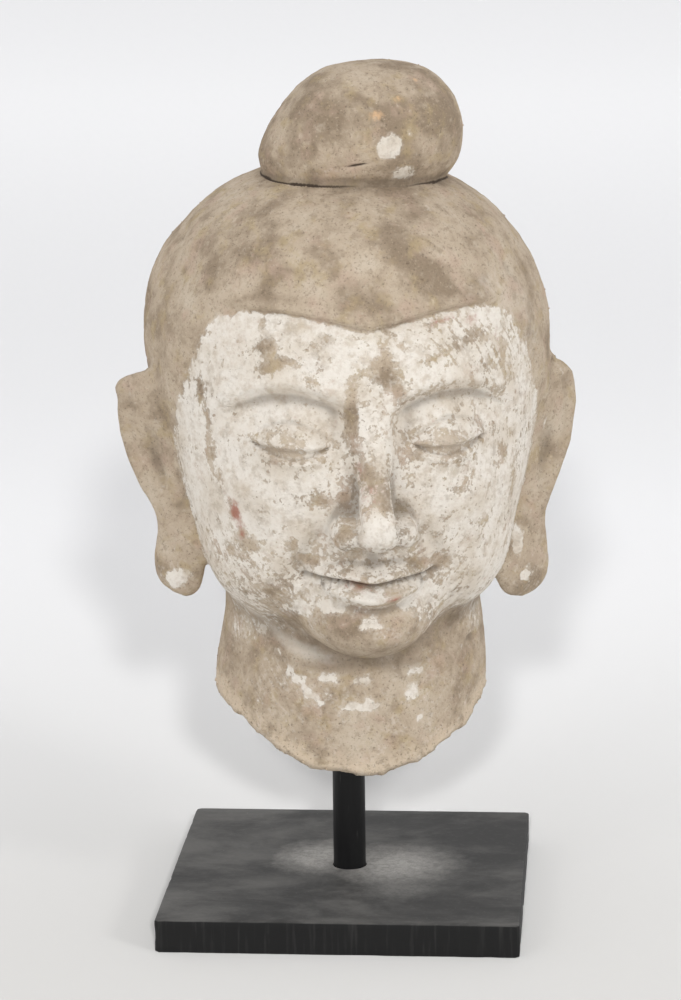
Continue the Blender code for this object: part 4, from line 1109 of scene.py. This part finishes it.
def painted_board(stand):
    """Fibreboard sawn to size and brushed with flat black paint, dusty on top.

    The top has a soft sheen under grey swirls of dust, which lies thickest in heaps by the rod's foot. The
    sawn edges are plainer and darker, with the saw's upright marks a millimetre or so apart.
    """
    material, tree, place = new_material("painted_board")
    normal = node(tree, "ShaderNodeNewGeometry").outputs["Normal"]
    upward = node(tree, "ShaderNodeSeparateXYZ", [normal]).outputs[2]
    top = node(tree, "ShaderNodeMapRange", [upward, 0.5, 0.9, 0.0, 1.0], **SMOOTH).outputs[0]
    seen = grains(tree, place, {
        "ragged": (0.006, 3.0, 0.6), "powder": (0.0016, 3.0, 0.7), "specks": (0.0011, 2.0, 0.5),
        "brushed": (0.0007, 2.0, 0.5),
    })
    drawn = node(tree, "ShaderNodeMapping", {"Vector": place, "Scale": (22.0, 40.0, 22.0)}).outputs[0]
    inputs = {"Vector": drawn, "Scale": 1.0, "Detail": 6.0, "Roughness": 0.66, "Distortion": 0.35}
    across = node(tree, "ShaderNodeSeparateXYZ", [place]).outputs[0]
    swirl = added_up(tree, node(tree, "ShaderNodeTexNoise", inputs).outputs["Fac"], [(across, -1.6)])
    upright = node(tree, "ShaderNodeMapping", {"Vector": place, "Scale": (650.0, 650.0, 40.0)}).outputs[0]
    sawn = node(tree, "ShaderNodeTexNoise", {"Vector": upright, "Scale": 1.0, "Detail": 3.0}).outputs["Fac"]

    # Dust: ragged heaps by the rod's foot over a film in long swirls, then single specks
    heap = 0.0
    for x, y, size, thick in DUST_HEAPS:
        inputs = {"Vector": place, "Location": (-x, -y, 0.0), "Scale": (1.0, 1.0, 0.0)}
        foot = node(tree, "ShaderNodeMapping", inputs).outputs[0]
        reach = node(tree, "ShaderNodeVectorMath", [foot], operation="LENGTH").outputs["Value"]
        reach = added_up(tree, reach, [(seen["ragged"], 0.014)])
        inputs = [reach, size, 0.008, 0.0, thick * stand.dust_heaps]
        pile = node(tree, "ShaderNodeMapRange", inputs, **SMOOTH).outputs[0]
        heap = node(tree, "ShaderNodeMath", [heap, pile], operation="MAXIMUM").outputs[0]
    powder = node(tree, "ShaderNodeMapRange", [seen["powder"], 0.30, 0.66, 0.66, 1.0], **SMOOTH).outputs[0]
    heap = node(tree, "ShaderNodeMath", [heap, powder], operation="MULTIPLY").outputs[0]
    film = node(tree, "ShaderNodeMapRange", [swirl, 0.36, 0.72, 0.055, 0.25], **SMOOTH).outputs[0]
    dust = node(tree, "ShaderNodeMath", [film, heap], operation="MAXIMUM").outputs[0]
    single = node(tree, "ShaderNodeMapRange", [seen["specks"], 0.70, 0.76, 0.0, 1.0], **SMOOTH).outputs[0]
    dust = added_up(tree, dust, [(single, 0.14)])
    dust = node(tree, "ShaderNodeMath", [dust, top], operation="MULTIPLY").outputs[0]
    paint = coated(tree, tuple(stand.board_paint), [(stand.dust, sawn, 0.50, 0.80, 0.035)])
    inputs = {SHARE: dust, FIRST: paint, SECOND: tuple(stand.dust)}
    colour = node(tree, "ShaderNodeMix", inputs, data_type="RGBA").outputs[MIXED]
    sheen = node(tree, "ShaderNodeMapRange", [dust, 0.0, 0.6, 0.60, 0.85], **SMOOTH).outputs[0]
    height = added_up(tree, 0.0, [(sawn, 0.06), (seen["brushed"], 0.05)])
    relief = node(tree, "ShaderNodeBump", {"Height": height, "Strength": 0.5, "Distance": 0.001})
    return with_shader(material, {
        "Base Color": colour, "Normal": relief.outputs["Normal"],
        "Roughness": sheen, "Specular IOR Level": 0.20})


def lacquered_steel(stand):
    """Drawn mild steel bar under sprayed black lacquer: a satin gloss, faintly scuffed along its length."""
    material, tree, place = new_material("lacquered_steel")
    drawn = node(tree, "ShaderNodeMapping", {"Vector": place, "Scale": (900.0, 900.0, 90.0)}).outputs[0]
    scuff = node(tree, "ShaderNodeTexNoise", {"Vector": drawn, "Scale": 1.0, "Detail": 4.0}).outputs["Fac"]
    peel = grains(tree, place, {"peel": (0.0014, 2.0, 0.5)})["peel"]
    colour = coated(tree, tuple(stand.lacquer), [(stand.dust, scuff, 0.62, 0.85, 0.10)])
    gloss = node(tree, "ShaderNodeMapRange", [scuff, 0.3, 0.7, 0.42, 0.56], **SMOOTH).outputs[0]
    relief = node(tree, "ShaderNodeBump", {"Height": peel, "Strength": 0.25, "Distance": 0.0001})
    return with_shader(material, {
        "Base Color": colour, "Normal": relief.outputs["Normal"],
        "Roughness": gloss, "Specular IOR Level": 0.26})


def studio_paper(stage):
    """Matt white background paper, greyer near the object and paler far behind it as painted shade and
    painted light, and glowing far behind it as painted light.
    """
    material, tree, place = new_material("studio_paper")
    back = node(tree, "ShaderNodeSeparateXYZ", [place]).outputs[1]
    # Painted shade near the object and painted light far behind it: the paper's colour pales with distance
    # back
    colour = coated(tree, tuple(stage.paper_near), [(stage.paper_far, back, -0.30, 0.70, 1.0)])
    fibre = grains(tree, place, {"fibre": (0.0008, 2.0, 0.5)})["fibre"]
    relief = node(tree, "ShaderNodeBump", {"Height": fibre, "Strength": 0.1, "Distance": 0.0001})
    # Painted light: the paper glows far behind the object
    glow = node(tree, "ShaderNodeMapRange", [back, 0.60, 2.8, 0.0, stage.far_glow], **SMOOTH).outputs[0]
    return with_shader(material, {
        "Base Color": colour, "Normal": relief.outputs["Normal"],
        "Roughness": 0.9, "Specular IOR Level": 0.2,
        "Emission Color": tuple(stage.paper_far), "Emission Strength": glow})


def finished(context, name, mesh, material, stands_for=None):
    """Links a finished mesh as a piece that rides with the frame."""
    mesh.materials.clear()
    mesh.materials.append(material)
    piece = bpy.data.objects.new(name, mesh)
    context.scene.collection.objects.link(piece)
    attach(piece, "root")
    if stands_for:
        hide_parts(stands_for)


def grown(context, name, mesh, tree, values):
    """The plain mesh that a node tree makes from a mesh, with the tree's inputs set by name."""
    thing = bpy.data.objects.new(name, mesh)
    context.scene.collection.objects.link(thing)
    modifier = thing.modifiers.new(name, "NODES")
    modifier.node_group = tree
    sockets = {item.name: item.identifier for item in tree.interface.items_tree if item.in_out == "INPUT"}
    for key, value in values.items():
        modifier[sockets[key]] = value
    context.view_layer.update()
    made = bpy.data.meshes.new_from_object(thing.evaluated_get(context.evaluated_depsgraph_get()))
    thing.modifiers.clear()
    bpy.data.objects.remove(thing)
    return made


def new_tree(name, sockets):
    """A node tree for a modifier, with its named inputs; returns it and its input's and output's nodes."""
    tree = bpy.data.node_groups.new(name, "GeometryNodeTree")
    tree.interface.new_socket("Geometry", in_out="INPUT", socket_type="NodeSocketGeometry")
    for label, kind, default in sockets:
        socket = tree.interface.new_socket(label, in_out="INPUT", socket_type=kind)
        if default is not None:
            socket.default_value = default
    tree.interface.new_socket("Geometry", in_out="OUTPUT", socket_type="NodeSocketGeometry")
    return tree, node(tree, "NodeGroupInput"), node(tree, "NodeGroupOutput")


def crumb_tree():
    """Grains of grit strewn over a surface and half sunk in it, each turned and sized by chance."""
    tree, given, result = new_tree("grit", [
        ("Grains per square metre", "NodeSocketFloat", 60000.0), ("Smallest", "NodeSocketFloat", 0.0002),
        ("Largest", "NodeSocketFloat", 0.0006), ("Seed", "NodeSocketInt", 5),
        ("Material", "NodeSocketMaterial", None),
    ])
    ground, thickest, smallest, largest, seed, material = given.outputs[:6]
    share = node(tree, "GeometryNodeInputNamedAttribute", {"Name": "grit"}, data_type="FLOAT").outputs[0]
    density = node(tree, "ShaderNodeMath", [share, thickest], operation="MULTIPLY").outputs[0]
    inputs = {"Mesh": ground, "Density": density, "Seed": seed}
    strewn = node(tree, "GeometryNodeDistributePointsOnFaces", inputs)
    grain = node(tree, "GeometryNodeMeshIcoSphere", {"Radius": 1.0, "Subdivisions": 1})
    inputs = {0: (0.0, 0.0, 0.0), 1: (6.28, 6.28, 6.28)}
    turn = node(tree, "FunctionNodeRandomValue", inputs, data_type="FLOAT_VECTOR").outputs[0]
    inputs = {2: smallest, 3: largest, "Seed": 3}
    size = node(tree, "FunctionNodeRandomValue", inputs, data_type="FLOAT").outputs[1]
    inputs = {0: (0.6, 0.6, 0.6), 1: (1.3, 1.3, 1.3), "Seed": 8}
    squash = node(tree, "FunctionNodeRandomValue", inputs, data_type="FLOAT_VECTOR").outputs[0]
    scale = node(tree, "ShaderNodeVectorMath", {0: squash, "Scale": size}, operation="SCALE").outputs[0]
    placed = node(tree, "GeometryNodeInstanceOnPoints", {
        "Points": strewn.outputs["Points"], "Instance": grain.outputs["Mesh"],
        "Rotation": turn, "Scale": scale})
    real = node(tree, "GeometryNodeRealizeInstances", {0: placed.outputs[0]})
    smooth = node(tree, "GeometryNodeSetShadeSmooth", {0: real.outputs[0]})
    dressed = node(tree, "GeometryNodeSetMaterial", {0: smooth.outputs[0], "Material": material})
    tree.links.new(dressed.outputs[0], result.inputs[0])
    return tree


def bar_tree():
    """A round bar along an upright line, with its two ends cut square."""
    tree, given, result = new_tree("bar", [
        ("Foot", "NodeSocketVector", (0.0, 0.0, 0.0)), ("Top", "NodeSocketVector", (0.0, 0.0, 1.0)),
        ("Radius", "NodeSocketFloat", 0.006), ("Sides", "NodeSocketInt", 64), ("Rings", "NodeSocketInt", 40),
        ("Material", "NodeSocketMaterial", None),
    ])
    foot, top, radius, sides, count, material = given.outputs[1:7]
    line = node(tree, "GeometryNodeCurvePrimitiveLine", {"Start": foot, "End": top})
    rings = node(tree, "GeometryNodeResampleCurve", {"Curve": line.outputs[0], "Count": count})
    edge = node(tree, "GeometryNodeCurvePrimitiveCircle", {"Resolution": sides, "Radius": radius})
    bar = node(tree, "GeometryNodeCurveToMesh", {
        "Curve": rings.outputs[0], "Profile Curve": edge.outputs[0], "Fill Caps": True})
    smooth = node(tree, "GeometryNodeSetShadeSmooth", {0: bar.outputs[0]})
    real = node(tree, "GeometryNodeRealizeInstances", {0: smooth.outputs[0]})
    dressed = node(tree, "GeometryNodeSetMaterial", {0: real.outputs[0], "Material": material})
    tree.links.new(dressed.outputs[0], result.inputs[0])
    return tree


# The board's mesh: points round it, its corners' radius on the sides and underneath, and the knocks' sizes
PLATE_COLUMNS = 360
PLATE_CORNER = 0.0008
PLATE_CORNER_BELOW = 0.0006
KNOCK_SIZES = 0.006, 0.0023


def square_ring(half, corner, columns, z):
    """A ring of points round a square with rounded corners, one for each of evenly spread directions."""
    turn = (np.arange(columns) + 0.5) / columns * 2 * math.pi
    c, s = np.cos(turn), np.sin(turn)
    reach = half / np.maximum(np.abs(c), np.abs(s))
    inner = half - corner
    near_corner = reach * np.minimum(np.abs(c), np.abs(s)) > inner
    b = inner * (np.abs(c) + np.abs(s))
    round_reach = b + np.sqrt(np.maximum(b * b - 2 * inner * inner + corner * corner, 0.0))
    reach = np.where(near_corner, round_reach, reach)
    return np.column_stack((reach * c, reach * s, np.full(columns, z)))


def plate_mesh(stand):
    """The board: worn arrises, a few knocks along its edges, and the blind hole for the rod."""
    low, high = PLATE_LOW.z, PLATE_HIGH.z
    half = (PLATE_HIGH.x - PLATE_LOW.x) / 2
    radius, floor = (ROD_HIGH.x - ROD_LOW.x) / 2 + PLAY, ROD_LOW.z - PLAY
    columns, bevel = PLATE_COLUMNS, stand.arris
    rings = [
        square_ring(half * share, PLATE_CORNER_BELOW * share, columns, low) for share in (0.25, 0.6, 0.9)]
    for turn in np.linspace(0, math.pi / 2, 4):
        inset, lift = bevel * (1 - math.sin(turn)), bevel * (1 - math.cos(turn))
        rings.append(square_ring(half - inset, PLATE_CORNER, columns, low + lift))
    for share in np.linspace(0, 1, 8)[1:-1]:
        height = low + bevel + (high - low - 2 * bevel) * share
        rings.append(square_ring(half, PLATE_CORNER, columns, height))
    for turn in np.linspace(math.pi / 2, 0, 4):
        inset, drop = bevel * (1 - math.sin(turn)), bevel * (1 - math.cos(turn))
        rings.append(square_ring(half - inset, PLATE_CORNER, columns, high - drop))
    around = (np.arange(columns) + 0.5) / columns * 2 * math.pi
    hole = np.column_stack((radius * np.cos(around), radius * np.sin(around), np.full(columns, high)))
    rim = square_ring(half - bevel, PLATE_CORNER, columns, high)
    for share in np.linspace(0, 1, 14)[1:]:
        rings.append(rim + (hole - rim) * share)
    rings.append(hole + (0, 0, (floor - high) / 2))
    rings.append(hole + (0, 0, floor - high))
    points = np.vstack(rings)
    side = ramp(np.abs(points[:, :2]).max(axis=1), half - 2 * bevel, half - 0.3 * bevel)
    wide, narrow = KNOCK_SIZES
    dents = np.maximum(lumps(points, wide, 40) - 0.35, 0)
    dents = dents + 0.5 * np.maximum(lumps(points, narrow, 41) - 0.5, 0)
    pulled = 1 - side * dents * stand.knocks / half
    points[:, :2] *= pulled[:, None]
    rings = np.split(points, len(rings))
    mesh = ringed_mesh("base_plate", rings, (0, 0, low), (0, 0, floor))
    mesh.shade_smooth()
    mesh.set_sharp_from_angle(angle=math.radians(50))
    return mesh


class ClayHeadSettings(bpy.types.PropertyGroup):
    """The head's shape and finish."""

    unevenness: FloatProperty(
        name="Unevenness", description="How far the hand-built surface swells and sinks",
        default=0.00042, min=0.0, max=0.002, unit="LENGTH", precision=5)
    chips: FloatProperty(
        name="Chips", description="How deep the nicks along the broken neck are",
        default=0.0009, min=0.0, max=0.004, unit="LENGTH", precision=5)
    grit_density: FloatProperty(
        name="Grit", description="Grains of grit to the square metre where the clay crumbles",
        default=90000.0, min=0.0, max=400000.0)
    grit_size: FloatProperty(
        name="Grit Size", description="Radius of the largest grains of grit",
        default=0.00055, min=0.0001, max=0.002, unit="LENGTH", precision=5)
    grit_seed: IntProperty(name="Grit Seed", description="Chooses where the grains lie", default=5, min=0)
    buff: FloatVectorProperty(
        name="Buff Clay", description="Most of the bare clay", subtype="COLOR", size=4,
        min=0, max=1, default=linear("B3A38F"))
    smoke: FloatVectorProperty(
        name="Smoked Clay", description="Clay darkened by smoke and handling", subtype="COLOR", size=4,
        min=0, max=1, default=linear("8A7A67"))
    pale: FloatVectorProperty(
        name="Rubbed Clay", description="Clay rubbed pale", subtype="COLOR", size=4,
        min=0, max=1, default=linear("C3B6A4"))
    ochre: FloatVectorProperty(
        name="Ochre Clay", description="Clay that fired yellower", subtype="COLOR", size=4,
        min=0, max=1, default=linear("A99776"))
    pink: FloatVectorProperty(
        name="Pink Clay", description="Clay that fired warmer", subtype="COLOR", size=4,
        min=0, max=1, default=linear("B59E8D"))
    slip_breaks: FloatProperty(
        name="Slip Wear", description="Slip breaks into flakes where less than this share of it is left",
        default=0.50, min=0.0, max=1.0)
    crumb: FloatVectorProperty(
        name="Crumbled Clay", description="Clay where it has broken and crumbled", subtype="COLOR", size=4,
        min=0, max=1, default=linear("CDBCA6"))
    # This colour also darkens the hollows, as painted shade and dirt
    speck: FloatVectorProperty(
        name="Dirt and Painted Shade", description="Dark specks, and dirt in the hollows", subtype="COLOR", size=4,
        min=0, max=1, default=linear("65594B"))
    crack: FloatVectorProperty(
        name="Crack", description="The inside of cracks", subtype="COLOR", size=4,
        min=0, max=1, default=linear("3A3028"))
    slip: FloatVectorProperty(
        name="White Slip", description="The slip where it is thickest", subtype="COLOR", size=4,
        min=0, max=1, default=linear("E0DAD1"))
    cream: FloatVectorProperty(
        name="Cream Slip", description="The slip where it is thin or soiled", subtype="COLOR", size=4,
        min=0, max=1, default=linear("D0C6B8"))
    red: FloatVectorProperty(
        name="Red Pigment", description="Traces of red paint", subtype="COLOR", size=4,
        min=0, max=1, default=linear("9C604E"))
    rust: FloatVectorProperty(
        name="Rusty Grains", description="Orange grains in the topknot", subtype="COLOR", size=4,
        min=0, max=1, default=linear("D9B28A"))


class StandSettings(bpy.types.PropertyGroup):
    """The rod's and the board's shape and finish."""

    arris: FloatProperty(
        name="Arris", description="How far the board's sharp edges are worn round",
        default=0.0007, min=0.0001, max=0.003, unit="LENGTH", precision=5)
    knocks: FloatProperty(
        name="Knocks", description="How deep the knocks in the board's edges are",
        default=0.0006, min=0.0, max=0.003, unit="LENGTH", precision=5)
    dust_heaps: FloatProperty(
        name="Dust Heaps", description="How thick the dust lies by the rod's foot",
        default=0.95, min=0.0, max=1.0)
    board_paint: FloatVectorProperty(
        name="Board Paint", description="Flat black paint on the board", subtype="COLOR", size=4,
        min=0, max=1, default=linear("171717"))
    dust: FloatVectorProperty(
        name="Dust", description="Dust on the black paint", subtype="COLOR", size=4,
        min=0, max=1, default=linear("B2B0AC"))
    lacquer: FloatVectorProperty(
        name="Rod Lacquer", description="Black lacquer on the rod", subtype="COLOR", size=4,
        min=0, max=1, default=linear("0B0B0C"))


class StageSettings(bpy.types.PropertyGroup):
    """The floor and the light."""

    floor_size: FloatProperty(
        name="Floor", description="Width of the floor", default=16.0, min=1.0, max=100.0, unit="LENGTH")
    paper_near: FloatVectorProperty(
        name="Near Paper", description="Floor at the object", subtype="COLOR", size=4,
        min=0, max=1, default=linear("979694"))
    paper_far: FloatVectorProperty(
        name="Far Paper", description="Floor far behind the object", subtype="COLOR", size=4,
        min=0, max=1, default=linear("BDBDBE"))
    far_glow: FloatProperty(
        name="Far Light", description="Light on the floor far behind the object, as a glow of the paper",
        default=0.53, min=0.0, max=2.0)
    key: FloatProperty(
        name="Right Light", description="Power of the soft light on the viewer's right, in watts",
        default=8.0, min=0.0, max=1000.0)
    fill: FloatProperty(
        name="Left Light", description="Power of the soft light on the viewer's left, in watts",
        default=6.3, min=0.0, max=1000.0)
    sky: FloatProperty(
        name="Room Light", description="Strength of the even light from all round",
        default=1.0, min=0.0, max=5.0)
    floor_light: FloatProperty(
        name="Floor Lights", description="Power of each lamp that lights only the floor, in watts",
        default=246.0, min=0.0, max=1000.0)


# Lamps: the setting that gives the power, the place, the width, and whether only the floor is lit
LAMPS = {
    "right_light": ("key", (1.35, -1.15, 0.85), 0.4, False),
    "left_light": ("fill", (-0.90, -1.40, 0.95), 0.4, False),
    "right_floor_light": ("floor_light", (0.69, -3.94, 1.58), 0.24, True),
    "left_floor_light": ("floor_light", (0.04, -4.00, 1.58), 0.24, True),
}
LAMPS_AIM = Vector((0, 0, 0.17))

# The camera, as solved from the board's corners and the rod's foot: metres, radians and millimetres
CAMERA_PLACE = 0.0974729, -1.2260769, 0.4332388
CAMERA_AZIMUTH = 0.0808273
CAMERA_ELEVATION = 0.2254664
CAMERA_ROLL = -0.0120012
CAMERA_LENS = 124.95


class CLAYHEAD_OT_stage(bpy.types.Operator):
    """Lays the floor and sets the soft lights and the camera"""

    bl_idname = "clay_head.stage"
    bl_label = "Set Up Stage"

    def execute(self, context):
        stage = context.scene.clay_head_stage
        mesh = bpy.data.meshes.new("floor")
        shape = bmesh.new()
        bmesh.ops.create_grid(shape, x_segments=8, y_segments=8, size=stage.floor_size / 2)
        shape.to_mesh(mesh)
        shape.free()
        mesh.materials.append(studio_paper(stage))
        floor = bpy.data.objects.new("floor", mesh)
        context.scene.collection.objects.link(floor)
        floor_alone = bpy.data.collections.new("lit_by_floor_lamps")
        floor_alone.objects.link(floor)
        for name, (power, place, width, on_floor_alone) in LAMPS.items():
            lamp = bpy.data.lights.new(name, "AREA")
            lamp.shape, lamp.size, lamp.energy = "DISK", width, getattr(stage, power)
            light = bpy.data.objects.new(name, lamp)
            light.location = place
            light.rotation_euler = (LAMPS_AIM - Vector(place)).to_track_quat("-Z", "Y").to_euler()
            if on_floor_alone:
                light.light_linking.receiver_collection = floor_alone
            context.scene.collection.objects.link(light)
        world = bpy.data.worlds.new("room")
        world.use_nodes = True
        room = world.node_tree.nodes["Background"]
        room.inputs["Color"].default_value = linear("F8F8F9")
        room.inputs["Strength"].default_value = stage.sky
        context.scene.world = world
        context.scene.view_settings.view_transform = "Standard"
        self.set_up_camera(context)
        return {"FINISHED"}

    def set_up_camera(self, context):
        """A long lens a little to the right of the plate's front and above the head."""
        level = math.cos(CAMERA_ELEVATION)
        back = Vector((
            math.sin(CAMERA_AZIMUTH) * level, -math.cos(CAMERA_AZIMUTH) * level, math.sin(CAMERA_ELEVATION)))
        right = Vector((math.cos(CAMERA_AZIMUTH), math.sin(CAMERA_AZIMUTH), 0.0))
        up = back.cross(right)
        across = math.cos(CAMERA_ROLL) * right + math.sin(CAMERA_ROLL) * up
        upright = math.cos(CAMERA_ROLL) * up - math.sin(CAMERA_ROLL) * right
        turned = Matrix((across, upright, back)).transposed().to_4x4()
        lens = bpy.data.cameras.new("camera")
        lens.lens, lens.clip_start, lens.clip_end = CAMERA_LENS, 0.05, 40.0
        camera = bpy.data.objects.new("camera", lens)
        camera.matrix_world = Matrix.Translation(CAMERA_PLACE) @ turned
        context.scene.collection.objects.link(camera)
        context.scene.camera = camera


class CLAYHEAD_OT_head(bpy.types.Operator):
    """Builds the fired-clay head"""

    bl_idname = "clay_head.head"
    bl_label = "Build Head"

    def execute(self, context):
        clay = context.scene.clay_head
        mesh = head_mesh(context, clay)
        finished(context, "clay_head", mesh, slipped_clay(clay), "head")
        return {"FINISHED"}


class CLAYHEAD_OT_grit(bpy.types.Operator):
    """Strews grit over the broken neck"""

    bl_idname = "clay_head.grit"
    bl_label = "Strew Grit"

    def execute(self, context):
        clay, head = context.scene.clay_head, bpy.data.objects["clay_head"]
        ground = head.data.copy()
        fresh, hair = np.empty(len(ground.vertices)), np.empty(len(ground.vertices))
        ground.attributes["fresh"].data.foreach_get("value", fresh)
        ground.attributes["hair"].data.foreach_get("value", hair)
        store(ground, "grit", "FLOAT", np.clip(fresh + 0.05 * hair, 0.0, 1.0))
        material = head.data.materials[0]
        mesh = grown(context, "grit", ground, crumb_tree(), {
            "Grains per square metre": clay.grit_density, "Smallest": clay.grit_size * 0.35,
            "Largest": clay.grit_size, "Seed": clay.grit_seed, "Material": material})
        finished(context, "grit", mesh, material)
        return {"FINISHED"}


class CLAYHEAD_OT_rod(bpy.types.Operator):
    """Builds the black rod"""

    bl_idname = "clay_head.rod"
    bl_label = "Build Rod"

    def execute(self, context):
        material = lacquered_steel(context.scene.clay_head_stand)
        mesh = grown(context, "steel_rod", bpy.data.meshes.new("rod"), bar_tree(), {
            "Foot": (0.0, 0.0, ROD_LOW.z), "Top": (0.0, 0.0, ROD_HIGH.z),
            "Radius": (ROD_HIGH.x - ROD_LOW.x) / 2, "Material": material})
        finished(context, "steel_rod", mesh, material, "rod")
        return {"FINISHED"}


class CLAYHEAD_OT_board(bpy.types.Operator):
    """Builds the black board that the rod stands in"""

    bl_idname = "clay_head.board"
    bl_label = "Build Board"

    def execute(self, context):
        stand = context.scene.clay_head_stand
        finished(context, "board", plate_mesh(stand), painted_board(stand), "base_plate")
        return {"FINISHED"}


class CLAYHEAD_PT_panel(bpy.types.Panel):
    """Lists the pieces and their sizes and colours"""

    bl_idname = "CLAYHEAD_PT_panel"
    bl_label = "Clay Head"
    bl_space_type = "VIEW_3D"
    bl_region_type = "UI"
    bl_category = "Clay Head"

    def draw(self, context):
        groups = {
            "clay_head": ("clay_head.head", "clay_head.grit"),
            "clay_head_stand": ("clay_head.rod", "clay_head.board"),
            "clay_head_stage": ("clay_head.stage",),
        }
        for group, operators in groups.items():
            settings, box = getattr(context.scene, group), self.layout.box()
            for name in settings.bl_rna.properties.keys():
                if name not in ("rna_type", "name"):
                    box.prop(settings, name)
            for operator in operators:
                box.operator(operator)


SETTINGS = {
    "clay_head": ClayHeadSettings,
    "clay_head_stand": StandSettings,
    "clay_head_stage": StageSettings,
}
OPERATORS = [CLAYHEAD_OT_stage, CLAYHEAD_OT_board, CLAYHEAD_OT_rod, CLAYHEAD_OT_head, CLAYHEAD_OT_grit]


def register():
    for kind in [*SETTINGS.values(), *OPERATORS, CLAYHEAD_PT_panel]:
        bpy.utils.register_class(kind)
    for name, kind in SETTINGS.items():
        setattr(bpy.types.Scene, name, PointerProperty(type=kind))


def unregister():
    for name in SETTINGS:
        delattr(bpy.types.Scene, name)
    for kind in reversed([*SETTINGS.values(), *OPERATORS, CLAYHEAD_PT_panel]):
        bpy.utils.unregister_class(kind)


def main():
    register()
    bpy.ops.clay_head.stage()
    bpy.ops.clay_head.board()
    bpy.ops.clay_head.rod()
    bpy.ops.clay_head.head()
    bpy.ops.clay_head.grit()


if __name__ == "__main__":
    main()
